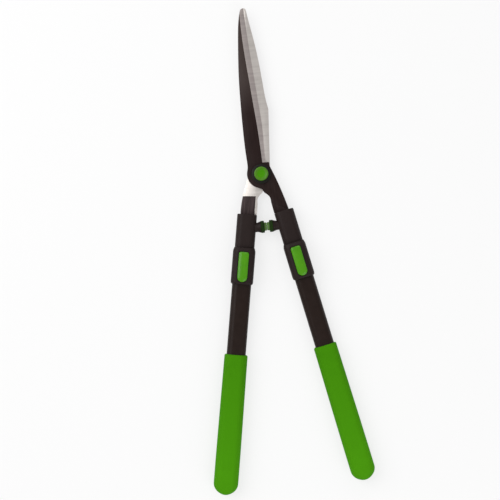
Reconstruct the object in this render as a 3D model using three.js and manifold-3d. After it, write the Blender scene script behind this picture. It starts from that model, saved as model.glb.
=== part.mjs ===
// Telescopic hedge shears: two ground blades on one pivot, each tang held in a handle
// whose oval outer tube slides on an inner tube and is held by a rocking brake lever.
// Millimetres. The shears lie on their back: +Z is up, +Y runs to the blade tips,
// and the origin is on the pivot's axis at the surface that they lie on.
import * as THREE from 'three';
import { mergeVertices } from 'three/addons/utils/BufferGeometryUtils.js';
import Module from 'manifold-3d';

const wasm = await Module();
wasm.setup();

// Clearance between pieces that seat on or slide in each other, and overrun of every cut
const gap = 0.3;
const overrun = 1;
// Corners closer than this are one corner
const weldDistance = 1e-5;

// Grips
const gripTopWidth = 34.8;
const gripWidth = 36.8;
const gripTopThickness = 24;
const gripThickness = 26;
const gripStart = 268.7;
const gripLength = 211.8;
const gripEndWall = 10.5;
const gripEndRound = 17.5;
const gripMouthRound = 1.4;
const gripSideRound = 11;

// The blades meet in the plane of the tubes' axes, as high as half a grip
const midHeight = gripThickness / 2;

// Blades
const bladeThickness = 3.5;
const bladeGap = 0.3;
const bladeLength = 250;
const spineReach = 20.1;
const edgeReach = 8.8;
const tipHalfWidth = 3.6;
const bevelWidth = 8.1;
const edgeThickness = 0.5;
const tipThinning = 1.3;
const heelLevel = 16.4;
const heelRunOut = 12;
const shoulderReach = 13.6;
const shoulderRound = 1.4;
const shoulderDrop = 6;
const headRadius = 21.3;
const backCornerReach = 21.3;
const backCornerLevel = 95.5;
const backHeadReach = 13.4;

// Tangs, measured across and along the handle's axis
const frontTangReach = 8;
const frontBendReach = 5.9;
const frontBend = 20.4;
const backTangReach = 10.2;
const backBendReach = 11.2;
const backBend = 29.6;
const tangInnerReach = 14.7;
const tailWidth = 17;
const tailLength = 58;
const tailChamfer = 2.5;

// Handle axes: where they cross the pivot's level, and their half angle when closed
const handleSpread = 16.4;
const handleAngle = 10.77;

// Ferrule housings
const housingStart = 59;
const housingLength = 50.2;
const housingWidth = 29.6;
const housingThickness = 21;
const housingRound = 9.4;
const housingEdge = 1.6;
const housingRoof = 10;

// Bumper stubs and rubber bumpers, measured from the middle between the handles
const stubLevel = 79;
const stubReach = 9;
const stubRadius = 7;
const stubFlare = 1.7;
const stubRoot = 7;
const bumperFlangeRadius = 9.1;
const bumperFlangeStart = 3.8;
const bumperTipRadius = 6.2;
const bumperRound = 1.1;
const bumperPegRadius = 3.4;
const bumperPegLength = 7;

// Tubes
const innerWidth = 25.4;
const innerThickness = 14.6;
const innerWall = 1.2;
const outerWall = 1.4;
const slideTravel = 200;
const slideOverlap = 80;
const plugFlange = 3;
const plugSpigot = 14;

// Tang screws
const tangScrewFirst = 77;
const tangScrewPitch = 22;
const tangScrewRadius = 2;
const tangScrewHeadRadius = 3.5;
const tangScrewHeadHeight = 2;
const tangScrewSink = 1.2;
const tangScrewCover = 2;

// Locking collars
const collarLength = 54.5;
const collarWidth = 33.6;
const collarFront = 15.5;
const collarRound = 9;
const collarTopWidth = 31.2;
const collarFlare = 5.5;
const collarEndWidth = 30.6;
const collarEndTaper = 4.5;
const collarNeck = 20;
const wellFloorWall = 1.2;
const wellSide = 0.5;
const collarScrewPlace = 36;
const collarScrewRadius = 1.5;
const collarScrewHeadRadius = 3;
const collarScrewHeadHeight = 1.4;
const collarScrewSink = 2;

// Lock levers
const leverPlace = 5.2;
const leverLength = 46.6;
const leverWidth = 16;
const leverTopRound = 3;
const leverLift = 3.6;
const leverEdgeHeight = 2.4;
const leverCrown = 2.6;
const leverPinPlace = 15.3;
const leverPinRadius = 1.25;
const leverPinPlay = 0.15;
const leverPinLift = 2.8;
const leverPinInset = 6.6;
const leverBossRadius = 2.5;
const padPlace = 5.4;
const padLength = 7;
const padWidth = 9;
const padThickness = 2;
const padClearance = 1;
const springPlace = 35;
const springRadius = 2.4;
const springWire = 0.7;
const springHeight = 5.4;
const springTurns = 4;
const springPocketClearance = 0.5;

// Pivot
const bushRadius = 6;
const boltRadius = 4;
const boltHeadRadius = 7;
const boltHeadHeight = 4.6;
const washerThickness = 1.6;
const frontWasherRadius = 14.6;
const backWasherRadius = 12;
const nutRadius = 7.5;
const nutHeight = 5;
const boltEnd = 0.5;
const frontCapRadius = 10.9;
const frontCapWall = 1.6;
const frontCapDish = 0.9;
const backCapRadius = 12;
const capRound = 1.5;

// Facets: steps in a quarter round, sides of turned pieces, steps along a free curve
const quarterSteps = 4;
const turnedSides = 24;
const curveSteps = 4;

// Shares of the named sizes, chosen by hand.
// Spines run from the waist to the tip: [share of the reach, share of the blade's length]
const frontSpineShares = [
  [0.947, 0.06], [0.99, 0.15], [1, 0.26], [0.97, 0.41], [0.89, 0.58],
  [0.742, 0.728], [0.555, 0.872], [0.4, 0.945], [0.27, 0.985],
];
const backSpineShares = [
  [0.873, 0.45], [0.785, 0.55], [0.704, 0.648], [0.612, 0.728], [0.502, 0.8],
  [0.38, 0.87], [0.25, 0.94], [0.19, 0.98],
];
// Cutting edge from the heel to the tip: [share of its reach, share of the blade's length]
const edgeShares = [
  [0.9, 0.0656], [0.985, 0.19], [1, 0.31], [0.7, 0.5], [0.37, 0.688], [0.13, 0.86], [0, 0.965],
];
// Bevel along the same length: [share of its width, share of the blade's length]
const bevelShares = [
  [0.53, 0.0656], [0.7, 0.17], [0.95, 0.34], [1, 0.6], [1, 0.8], [0.85, 0.94], [0.7, 1],
];
const heelGrindShare = 0.35;
const edgeRoundShare = 0.3;
// Underside of the head and the crotch of the tang, in head radii across and along
const crotchShares = [
  [0.48, -2.07], [0.462, -1.81], [0.4, -1.64], [0.285, -1.5], [0.16, -1.39], [0.05, -1.3],
];
const notchShare = [-0.03, -1.1];
const notchStartShare = [-0.23, -0.974];
const waistShare = [-0.955, 0.3];
// Back of the grip's profile: [share of its length, share of the change to full size]
const gripSwellShares = [[0.1, 0.1], [0.35, 0.45], [0.65, 0.85], [0.85, 1]];

// Places that follow from the sizes
const outerWidth = innerWidth + 2 * (outerWall + gap);
const outerThickness = innerThickness + 2 * (outerWall + gap);
const housingEnd = housingStart + housingLength;
const collarStart = housingEnd + gap;
const collarEnd = collarStart + collarLength;
const outerStart = collarStart + collarNeck;
const innerStart = housingStart + housingRoof + gap;
const innerEnd = outerStart + slideTravel + slideOverlap;
const tailEnd = housingStart + tailLength;
const gripEnd = gripStart + gripLength;
const outerEnd = gripEnd - gripEndWall - plugFlange - 2 * gap;
const wellFloor = outerThickness / 2 + gap + wellFloorWall;
const leverBase = wellFloor + leverLift;
const leverStart = collarStart + leverPlace;
const leverEnd = leverStart + leverLength;
const leverPin = leverStart + leverPinPlace;
const leverPinHeight = wellFloor + leverPinLift;
const leverPinLength = collarWidth - 2 * leverPinInset;
const padStart = leverStart + padPlace - padLength / 2;
const upperScrew = tangScrewFirst;
const lowerScrew = tangScrewFirst + tangScrewPitch;
const screwPlaces = [upperScrew, lowerScrew];

// Materials
const coatedSteel = new THREE.MeshStandardMaterial({ color: 0x2d2423, roughness: 0.45, metalness: 0.6 });
const bareSteel = new THREE.MeshStandardMaterial({ color: 0xb8b4b0, roughness: 0.3, metalness: 1 });
const tubeBlack = new THREE.MeshStandardMaterial({ color: 0x2b2222, roughness: 0.4, metalness: 0.4 });
const mouldedBlack = new THREE.MeshStandardMaterial({ color: 0x252022, roughness: 0.6, metalness: 0 });
const mouldedGreen = new THREE.MeshStandardMaterial({ color: 0x4a9a10, roughness: 0.4, metalness: 0 });
const gripGreen = new THREE.MeshStandardMaterial({ color: 0x459610, roughness: 0.75, metalness: 0 });
const rubberGreen = new THREE.MeshStandardMaterial({ color: 0x2f5c12, roughness: 0.7, metalness: 0 });

// Makes a closed geometry an exact solid that can be cut and joined.
function solidOf(geometry) {
  const bare = new THREE.BufferGeometry();
  bare.setAttribute('position', geometry.getAttribute('position').clone());
  bare.setIndex(geometry.getIndex());
  const merged = mergeVertices(bare, weldDistance);
  const index = merged.getIndex().array;
  const corners = [];
  for (let i = 0; i < index.length; i += 3) {
    const [a, b, c] = [index[i], index[i + 1], index[i + 2]];
    if (a !== b && b !== c && c !== a) corners.push(a, b, c);
  }
  const mesh = new wasm.Mesh({
    numProp: 3,
    vertProperties: new Float32Array(merged.getAttribute('position').array),
    triVerts: new Uint32Array(corners),
  });
  return new wasm.Manifold(mesh);
}

function cut(solid, ...cutters) {
  return cutters.reduce((left, cutter) => left.subtract(cutter), solid);
}

function join(solid, ...others) {
  return others.reduce((left, other) => left.add(other), solid);
}

// A named mesh of an exact solid.
function meshOf(name, solid, material) {
  const { vertProperties, triVerts, numProp } = solid.getMesh();
  const place = new Float32Array((vertProperties.length / numProp) * 3);
  for (let i = 0; i < place.length / 3; i += 1) {
    place.set(vertProperties.subarray(i * numProp, i * numProp + 3), i * 3);
  }
  const geometry = new THREE.BufferGeometry();
  geometry.setAttribute('position', new THREE.BufferAttribute(place, 3));
  geometry.setIndex(new THREE.BufferAttribute(new Uint32Array(triVerts), 1));
  geometry.computeVertexNormals();
  const mesh = new THREE.Mesh(geometry, material);
  mesh.name = name;
  return mesh;
}

// Corners of a rectangle with round corners, anticlockwise.
function roundedOutline(width, height, radius) {
  const points = [];
  const signs = [[1, 1], [-1, 1], [-1, -1], [1, -1]];
  signs.forEach(([right, up], corner) => {
    for (let step = 0; step <= quarterSteps; step += 1) {
      const angle = (corner + step / quarterSteps) * Math.PI / 2;
      points.push(new THREE.Vector2(
        right * (width / 2 - radius) + radius * Math.cos(angle),
        up * (height / 2 - radius) + radius * Math.sin(angle),
      ));
    }
  });
  return points;
}

function ovalOutline(width, height) {
  return roundedOutline(width, height, height / 2);
}

// A block whose outline lies across the handle and whose length runs down the handle.
function downHandle(outline, start, end) {
  const geometry = new THREE.ExtrudeGeometry(new THREE.Shape(outline), {
    depth: end - start, bevelEnabled: false, curveSegments: curveSteps,
  });
  geometry.rotateX(Math.PI / 2);
  geometry.translate(0, -start, 0);
  return solidOf(geometry);
}

// A solid through closed convex rings of equal count; its ends are flat.
function loft(rings) {
  const count = rings[0].length;
  const places = rings.flat().flatMap((point) => [point.x, point.y, point.z]);
  const faces = [];
  for (let ring = 0; ring + 1 < rings.length; ring += 1) {
    for (let side = 0; side < count; side += 1) {
      const next = (side + 1) % count;
      const [a, b] = [ring * count + side, ring * count + next];
      faces.push(a, b, b + count, a, b + count, a + count);
    }
  }
  const last = (rings.length - 1) * count;
  for (let side = 1; side + 1 < count; side += 1) {
    faces.push(0, side + 1, side, last, last + side, last + side + 1);
  }
  const geometry = new THREE.BufferGeometry();
  geometry.setAttribute('position', new THREE.Float32BufferAttribute(places, 3));
  geometry.setIndex(signedVolume(places, faces) > 0 ? faces : faces.reverse());
  return solidOf(geometry);
}

function signedVolume(places, faces) {
  const corner = (index) => new THREE.Vector3().fromArray(places, index * 3);
  let volume = 0;
  for (let i = 0; i < faces.length; i += 3) {
    volume += corner(faces[i]).dot(corner(faces[i + 1]).cross(corner(faces[i + 2])));
  }
  return volume;
}

// A turned solid about Z from [radius, height] pairs that start and end on the axis or close.
function turned(profile, sides = turnedSides) {
  const points = profile.map(([radius, height]) => new THREE.Vector2(radius, height));
  const geometry = new THREE.LatheGeometry(points, sides);
  geometry.rotateX(Math.PI / 2);
  const solid = solidOf(geometry);
  if (solid.volume() > 0) return solid;
  return solidOf(new THREE.LatheGeometry(points.reverse(), sides).rotateX(Math.PI / 2));
}

// A round rod along Z between two heights.
function rod(radius, bottom, top, sides = turnedSides) {
  const geometry = new THREE.CylinderGeometry(radius, radius, top - bottom, sides);
  geometry.rotateX(Math.PI / 2);
  geometry.translate(0, 0, (top + bottom) / 2);
  return solidOf(geometry);
}

// A block from its middle and size.
function block(x, y, z, width, length, height) {
  const geometry = new THREE.BoxGeometry(width, length, height);
  geometry.translate(x, y, z);
  return solidOf(geometry);
}

// Quarter round from one [radius, height] corner to the next, bulging outwards.
function rim(radius, height, round, direction) {
  const points = [];
  for (let step = 0; step <= quarterSteps; step += 1) {
    const angle = step / quarterSteps * Math.PI / 2;
    points.push([radius - round + round * Math.cos(angle), height + direction * round * (Math.sin(angle) - 1)]);
  }
  return points;
}

// A place across and down the right handle, seen in the frame of the pivot.
function handlePoint(across, down) {
  const point = new THREE.Vector2(across, -down);
  point.rotateAround(new THREE.Vector2(), THREE.MathUtils.degToRad(handleAngle));
  return point.setX(point.x + handleSpread);
}

// Value of a hand-drawn curve of [value share, length share] pairs at one length share.
function shareAt(shares, length) {
  const after = shares.findIndex(([, place]) => place >= length);
  if (after < 0) return shares[shares.length - 1][0];
  if (after === 0) return shares[0][0];
  const [[low, start], [high, end]] = [shares[after - 1], shares[after]];
  return THREE.MathUtils.mapLinear(length, start, end, low, high);
}

// Cutting edges of the two blades: reach past the centre line at a level
function edgeAt(level) {
  return edgeReach * shareAt(edgeShares, level / bladeLength);
}

// Outline of a blade with its head and tang. The spine lies to the left, the tang runs to
// the right handle. The two blades differ in the spine's lower part and the head.
function bladeOutline(isFront) {
  const shape = new THREE.Shape();
  shape.moveTo(edgeAt(heelLevel), heelLevel);
  shape.lineTo(shoulderReach - shoulderRound, heelLevel);
  shape.quadraticCurveTo(shoulderReach, heelLevel, shoulderReach, heelLevel - shoulderRound);

  const tangEnd = handlePoint(isFront ? frontTangReach : backTangReach, housingStart - gap);
  const bend = isFront ? handlePoint(frontBendReach, frontBend) : handlePoint(backBendReach, backBend);
  shape.lineTo(shoulderReach + gap, heelLevel - shoulderDrop);
  shape.quadraticCurveTo(bend.x, bend.y, tangEnd.x, tangEnd.y);

  const tail = [
    [tailWidth / 2, housingStart - gap], [tailWidth / 2, tailEnd - tailChamfer],
    [tailWidth / 2 - tailChamfer, tailEnd], [tailChamfer - tailWidth / 2, tailEnd],
    [-tailWidth / 2, tailEnd - tailChamfer], [-tailWidth / 2, housingStart - gap],
    [-tangInnerReach, housingStart - gap],
  ];
  tail.map(([across, down]) => handlePoint(across, down)).forEach((point) => shape.lineTo(point.x, point.y));

  const crotch = crotchShares.map(([x, y]) => new THREE.Vector2(x * headRadius, y * headRadius));
  shape.lineTo(crotch[0].x, crotch[0].y);
  shape.splineThru(crotch.slice(1));
  shape.lineTo(notchShare[0] * headRadius, notchShare[1] * headRadius);
  shape.lineTo(notchStartShare[0] * headRadius, notchStartShare[1] * headRadius);

  const spine = isFront ? frontHead(shape) : backHead(shape);
  shape.splineThru(spine);
  shape.quadraticCurveTo(-tipHalfWidth, bladeLength, 0, bladeLength);
  const edge = edgeShares.slice(1).reverse().map(([x, y]) => new THREE.Vector2(x * edgeReach, y * bladeLength));
  edge.push(new THREE.Vector2(edgeAt(heelLevel), heelLevel));
  shape.splineThru(edge);
  return shape;
}

// Round head of the front blade up to the waist; returns the spine above it.
function frontHead(shape) {
  const start = Math.atan2(notchStartShare[1], notchStartShare[0]);
  const end = Math.atan2(waistShare[1], waistShare[0]) - 2 * Math.PI;
  shape.absarc(0, 0, headRadius, start, end, true);
  return frontSpineShares.map(([x, y]) => new THREE.Vector2(-x * spineReach, y * bladeLength));
}

// Narrow head of the back blade, then its straight flank up to the corner of the spine.
function backHead(shape) {
  shape.quadraticCurveTo(-backHeadReach, notchStartShare[1] * headRadius, -backHeadReach, 0);
  shape.lineTo(-backCornerReach, backCornerLevel);
  return backSpineShares.map(([x, y]) => new THREE.Vector2(-x * backCornerReach, y * bladeLength));
}

// What the grinder takes off the outer face along the cutting edge.
function bevelCutter() {
  const top = bladeThickness;
  const rings = [];
  const stations = edgeShares.length * 4;
  for (let station = 0; station <= stations; station += 1) {
    const level = THREE.MathUtils.lerp(heelLevel + gap, bladeLength + overrun, station / stations);
    const share = level / bladeLength;
    const edge = edgeAt(level);
    const start = edge - bevelWidth * shareAt(bevelShares, share);
    const rise = Math.min(1, (level - heelLevel) / heelRunOut);
    const depth = (bladeHeightAt(level) - edgeThickness) * THREE.MathUtils.lerp(heelGrindShare, 1, rise);
    const surface = bladeHeightAt(level);
    const low = surface - depth;
    const reach = edge + bevelWidth;
    rings.push([
      new THREE.Vector3(start, level, surface),
      new THREE.Vector3(edge, level, low),
      new THREE.Vector3(reach, level, low),
      new THREE.Vector3(reach, level, top + overrun),
      new THREE.Vector3(start, level, top + overrun),
    ]);
  }
  return loft(rings);
}

// The blade keeps its thickness to the end of the heel's grind and thins evenly to the tip.
function bladeHeightAt(level) {
  const start = heelLevel + heelRunOut;
  const share = Math.max(0, (level - start) / (bladeLength - start));
  return bladeThickness - tipThinning * share;
}

function thinningCutter() {
  const start = heelLevel + heelRunOut;
  const wedge = new THREE.Shape();
  wedge.moveTo(start, bladeThickness);
  wedge.lineTo(bladeLength + overrun, bladeHeightAt(bladeLength + overrun));
  wedge.lineTo(bladeLength + overrun, bladeThickness + overrun);
  wedge.lineTo(start, bladeThickness + overrun);
  const width = 2 * (backCornerReach + overrun);
  const geometry = new THREE.ExtrudeGeometry(wedge, { depth: width, bevelEnabled: false });
  geometry.applyMatrix4(new THREE.Matrix4().set(
    0, 0, 1, -width / 2,
    1, 0, 0, 0,
    0, 1, 0, 0,
    0, 0, 0, 1,
  ));
  return solidOf(geometry);
}

// A blade lying on its inner face, its outer face up.
function bladeSolid(isFront) {
  const plate = new THREE.ExtrudeGeometry(bladeOutline(isFront), {
    depth: bladeThickness, bevelEnabled: false, curveSegments: curveSteps,
  });
  const holes = screwPlaces.map((down) => {
    const place = handlePoint(0, down);
    return rod(tangScrewRadius + gap, -overrun, bladeThickness + overrun, turnedSides / 2).translate(place.x, place.y, 0);
  });
  const pivotHole = rod(bushRadius + gap, -overrun, bladeThickness + overrun);
  return cut(solidOf(plate), bevelCutter(), thinningCutter(), pivotHole, ...holes);
}

// Front and back blades face each other across the gap; the back one is turned over.
function addBlades(root) {
  const front = meshOf('front_blade', bladeSolid(true), coatedSteel);
  front.position.z = midHeight + bladeGap / 2;
  const back = meshOf('back_blade', bladeSolid(false), coatedSteel);
  back.rotation.y = Math.PI;
  back.position.z = midHeight - bladeGap / 2;
  root.add(front, back);
}

// Bolt, bush, washers, nut and the two snap caps, stacked along Z from the middle plane.
function addPivot(root) {
  const stack = new THREE.Group();
  stack.position.z = midHeight;
  const face = bladeGap / 2 + bladeThickness + gap;
  const washerTop = face + washerThickness;
  const seat = washerTop + gap;
  const headTop = seat + boltHeadHeight;
  const nutBottom = -(seat + nutHeight);
  const shankEnd = nutBottom - boltEnd;

  const bush = cut(rod(bushRadius, -face + gap, face - gap), rod(boltRadius + gap, -face, face));
  const headRim = rim(boltHeadRadius, headTop, capRound, 1);
  const bolt = turned([
    [0, shankEnd], [boltRadius - boltEnd, shankEnd], [boltRadius, shankEnd + boltEnd],
    [boltRadius, seat], [boltHeadRadius, seat], ...headRim, [0, headTop],
  ]);
  const bore = rod(boltRadius + gap, -seat - overrun, seat + overrun);
  const frontWasher = cut(turned([
    [0, face], [frontWasherRadius, face], ...rim(frontWasherRadius, washerTop, washerThickness / 2, 1), [0, washerTop],
  ]), bore);
  const backWasher = cut(rod(backWasherRadius, -washerTop, -face), bore);
  const nut = cut(rod(nutRadius, nutBottom, -seat, 6), rod(boltRadius + gap, nutBottom - overrun, -seat + overrun));

  const capTop = headTop + gap + frontCapWall + frontCapDish;
  const dishRadius = frontCapRadius - 2 * capRound;
  const frontCap = cut(turned([
    [0, seat], [frontCapRadius, seat], ...rim(frontCapRadius, capTop, capRound, 1),
    [dishRadius, capTop - frontCapDish / 2], [dishRadius / 2, capTop - frontCapDish], [0, capTop - frontCapDish],
  ]), rod(boltHeadRadius + gap, seat - overrun, headTop + gap));
  const backCap = cut(turned([
    [0, -midHeight], ...rim(backCapRadius, -midHeight, capRound, -1).reverse(), [backCapRadius, -seat], [0, -seat],
  ]), rod(nutRadius + gap, shankEnd - gap, -seat + overrun));

  stack.add(
    meshOf('pivot_bush', bush, bareSteel),
    meshOf('pivot_bolt', bolt, bareSteel),
    meshOf('front_washer', frontWasher, tubeBlack),
    meshOf('back_washer', backWasher, bareSteel),
    meshOf('pivot_nut', nut, bareSteel),
    meshOf('front_pivot_cap', frontCap, mouldedGreen),
    meshOf('back_pivot_cap', backCap, mouldedBlack),
  );
  root.add(stack);
}

// Turns a solid that stands on Z so that it points from the handle's axis to the centre
// line, square to it, at the bumpers' level. Heights become distances from the centre line.
function towardsCentre(solid) {
  const middle = new THREE.Vector3(-handleSpread, -stubLevel, 0);
  middle.applyAxisAngle(new THREE.Vector3(0, 0, 1), -THREE.MathUtils.degToRad(handleAngle));
  return solid.rotate([0, 90, 0]).rotate([0, 0, -handleAngle]).translate(middle.x, middle.y, 0);
}

// Moulded ferrule with its inward stub, the slot for the tail and the pocket for the tube.
function housingSolid(tangMiddle) {
  const edge = (inset) => roundedOutline(
    housingWidth - 2 * inset, housingThickness - 2 * inset, housingRound - inset,
  );
  const rings = [
    [edge(housingEdge), housingStart],
    [edge(housingEdge * edgeRoundShare), housingStart + housingEdge * edgeRoundShare],
    [edge(0), housingStart + housingEdge],
    [edge(0), housingEnd],
  ];
  const body = loft(rings.map(([outline, down]) => outline.map((point) => new THREE.Vector3(point.x, -down, point.y))));
  const axisDistance = handleSpread + stubLevel * Math.tan(THREE.MathUtils.degToRad(handleAngle));
  const wallDistance = axisDistance - housingWidth / 2;
  const stub = towardsCentre(turned([
    [0, stubReach], [stubRadius + stubFlare, stubReach], [stubRadius, wallDistance - stubFlare],
    [stubRadius, wallDistance + stubRoot], [0, wallDistance + stubRoot],
  ]));
  const pegBore = towardsCentre(
    rod(bumperPegRadius + gap, stubReach - overrun, stubReach + bumperPegLength + gap, turnedSides / 2),
  );
  const tailSlot = block(
    0, -housingStart, tangMiddle, tailWidth + 2 * gap, 2 * (housingRoof + overrun), bladeThickness + 2 * gap,
  );
  const pocket = downHandle(
    ovalOutline(innerWidth + 2 * gap, innerThickness + 2 * gap), housingStart + housingRoof, housingEnd + overrun,
  );
  const sink = screwPlaces.map((down) => rod(
    tangScrewHeadRadius + gap, -housingThickness, tangScrewSink - housingThickness / 2,
  ).translate(0, -down, 0));
  return cut(join(body, stub), pegBore, tailSlot, pocket, ...sink, ...screwHoles());
}

// Clearance holes for the two tang screws, from the back up to their tips.
function screwHoles() {
  const top = innerThickness / 2 - innerWall - tangScrewCover;
  return screwPlaces.map((down) => rod(
    tangScrewRadius + gap, -housingThickness, top + gap, turnedSides / 2,
  ).translate(0, -down, 0));
}

function screwSolid(radius, headRadius, headTop, headHeight, tip) {
  const shoulder = headTop + headHeight;
  const dome = headRadius - headHeight / 2;
  return turned([
    [0, headTop], [dome, headTop], [headRadius, headTop + headHeight / 2], [headRadius, shoulder],
    [radius, shoulder], [radius, tip - radius / 2], [radius / 2, tip], [0, tip],
  ], turnedSides / 2);
}

// One of the screws that hold tang, insert, tube and housing together.
function tangScrewSolid(down) {
  const seat = tangScrewSink - housingThickness / 2 - gap;
  const tip = innerThickness / 2 - innerWall - tangScrewCover;
  return screwSolid(
    tangScrewRadius, tangScrewHeadRadius, seat - tangScrewHeadHeight, tangScrewHeadHeight, tip,
  ).translate(0, -down, 0);
}

// Rubber bumper: tip, flange and the peg that plugs into the stub.
function bumperSolid() {
  const flangeEnd = stubReach - gap;
  return towardsCentre(turned([
    [0, gap / 2], [bumperTipRadius - bumperRound, gap / 2], [bumperTipRadius, gap / 2 + bumperRound],
    [bumperTipRadius, bumperFlangeStart],
    [bumperFlangeRadius - bumperRound, bumperFlangeStart], [bumperFlangeRadius, bumperFlangeStart + bumperRound],
    [bumperFlangeRadius, flangeEnd - bumperRound], [bumperFlangeRadius - bumperRound, flangeEnd],
    [bumperPegRadius, flangeEnd], [bumperPegRadius, stubReach + bumperPegLength], [0, stubReach + bumperPegLength],
  ]));
}

function tubeSolid(width, thickness, wall, start, end) {
  const bore = ovalOutline(width - 2 * wall, thickness - 2 * wall);
  return cut(
    downHandle(ovalOutline(width, thickness), start, end),
    downHandle(bore, start - overrun, end + overrun),
  );
}

// Plastic core that fills the tube's top round the tang's tail.
function insertSolid(tangMiddle) {
  const inset = 2 * (innerWall + gap);
  const core = downHandle(
    ovalOutline(innerWidth - inset, innerThickness - inset), innerStart + gap, tailEnd + innerWall + 2 * gap,
  );
  const slot = block(
    0, -housingStart, tangMiddle, tailWidth + 2 * gap, 2 * (tailLength + gap), bladeThickness + 2 * gap,
  );
  return cut(core, slot, ...screwHoles());
}

// Plug for a tube's end: a flange across the wall and a spigot in the bore.
function plugSolid(end, width, thickness, wall, flangeWidth, flangeThickness) {
  const inset = 2 * (wall + gap);
  const spigot = ovalOutline(width - inset, thickness - inset);
  return join(
    downHandle(ovalOutline(flangeWidth, flangeThickness), end + gap, end + gap + plugFlange),
    downHandle(spigot, end - plugSpigot, end + 2 * gap),
  );
}

// Locking collar: flared shell with the lever's well, the pad's window and the pin's hole.
function collarSolid() {
  const height = collarFront + midHeight;
  const rise = (collarFront - midHeight) / 2;
  const ring = (width, down) => {
    const inset = (collarWidth - width) / 2;
    const outline = roundedOutline(width, height - 2 * inset, collarRound - inset);
    return outline.map((point) => new THREE.Vector3(point.x, -down, point.y + rise));
  };
  const body = loft([
    ring(collarTopWidth, collarStart), ring(collarWidth, collarStart + collarFlare),
    ring(collarWidth, collarEnd - collarEndTaper), ring(collarEndWidth, collarEnd),
  ]);
  const innerBore = downHandle(
    ovalOutline(innerWidth + 2 * gap, innerThickness + 2 * gap), collarStart - overrun, collarEnd,
  );
  const outerBore = downHandle(
    ovalOutline(outerWidth + 2 * gap, outerThickness + 2 * gap), outerStart - gap, collarEnd + overrun,
  );
  const well = leverPlan(-wellSide, wellFloor, collarFront + overrun);
  const window = block(
    0, -(padStart + padLength / 2), wellFloor,
    padWidth + 2 * padClearance, padLength + 2 * padClearance, 2 * (wellFloor - innerThickness / 2),
  );
  const pinHole = leverPinRod(leverPinRadius + gap, leverPinLength + 2 * gap);
  const screwDown = -(collarStart + collarScrewPlace);
  const sink = rod(collarScrewHeadRadius + gap, -midHeight - overrun, collarScrewSink - midHeight).translate(0, screwDown, 0);
  return cut(body, innerBore, outerBore, well, window, pinHole, sink, collarScrewHole());
}

function collarScrewHole() {
  return rod(collarScrewRadius + gap, -midHeight - overrun, 0, turnedSides / 2)
    .translate(0, -(collarStart + collarScrewPlace), 0);
}

// Short screw that ties the collar to the outer tube from the back.
function collarScrewSolid() {
  const seat = collarScrewSink - midHeight - gap;
  const tip = -(innerThickness / 2 + gap);
  return screwSolid(
    collarScrewRadius, collarScrewHeadRadius, seat - collarScrewHeadHeight, collarScrewHeadHeight, tip - gap / 2,
  ).translate(0, -(collarStart + collarScrewPlace), 0);
}

// The lever's plan as rings: near square at its upper end, half round at its lower end.
function leverRing(inset, height) {
  const half = leverWidth / 2 - inset;
  const topRound = Math.max(leverTopRound - inset / 2, gap);
  const top = -(leverStart + inset);
  const foot = -(leverEnd - leverWidth / 2);
  const points = [];
  [[1, 0], [-1, 1]].forEach(([side, corner]) => {
    for (let step = 0; step <= quarterSteps; step += 1) {
      const angle = (corner + step / quarterSteps) * Math.PI / 2;
      points.push(new THREE.Vector3(
        side * (half - topRound) + topRound * Math.cos(angle),
        top - topRound + topRound * Math.sin(angle),
        height,
      ));
    }
  });
  for (let step = 0; step <= 3 * quarterSteps; step += 1) {
    const angle = Math.PI * (1 + step / (3 * quarterSteps));
    points.push(new THREE.Vector3(half * Math.cos(angle), foot + half * Math.sin(angle), height));
  }
  return points;
}

function leverPlan(inset, bottom, top) {
  return loft([leverRing(inset, bottom), leverRing(inset, top)]);
}

function leverPinRod(radius, length) {
  return rod(radius, -length / 2, length / 2, turnedSides / 2)
    .rotate([0, 90, 0]).translate(0, -leverPin, leverPinHeight);
}

// Rocking lever: crowned pad for the thumb, hinge boss, brake nose and spring pocket.
function leverSolid() {
  const edgeTop = leverBase + leverEdgeHeight;
  const rings = [leverRing(0, leverBase), leverRing(0, edgeTop)];
  for (let step = 1; step <= quarterSteps; step += 1) {
    const angle = step / (quarterSteps + 1) * Math.PI / 2;
    rings.push(leverRing(leverWidth / 2 * (1 - Math.cos(angle)), edgeTop + leverCrown * Math.sin(angle)));
  }
  const boss = leverPinRod(leverBossRadius, leverWidth);
  const web = block(
    0, -leverPin, (leverPinHeight + leverBase) / 2 + gap,
    leverWidth, 2 * leverBossRadius, leverBase - leverPinHeight + 2 * gap,
  );
  const noseBottom = innerThickness / 2 + 2 * gap + padThickness;
  const nose = block(
    0, -(padStart + padLength / 2), (noseBottom + edgeTop) / 2, padWidth, padLength, edgeTop - noseBottom,
  );
  const pocket = rod(
    springRadius + springPocketClearance, leverBase - overrun, wellFloor + springHeight + 2 * gap, turnedSides / 2,
  ).translate(0, -(leverStart + springPlace), 0);
  return cut(join(loft(rings), boss, web, nose), leverPinRod(leverPinRadius + leverPinPlay, collarWidth), pocket);
}

function brakePadSolid() {
  const bottom = innerThickness / 2 + gap;
  return block(0, -(padStart + padLength / 2), bottom + padThickness / 2, padWidth, padLength, padThickness);
}

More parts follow.
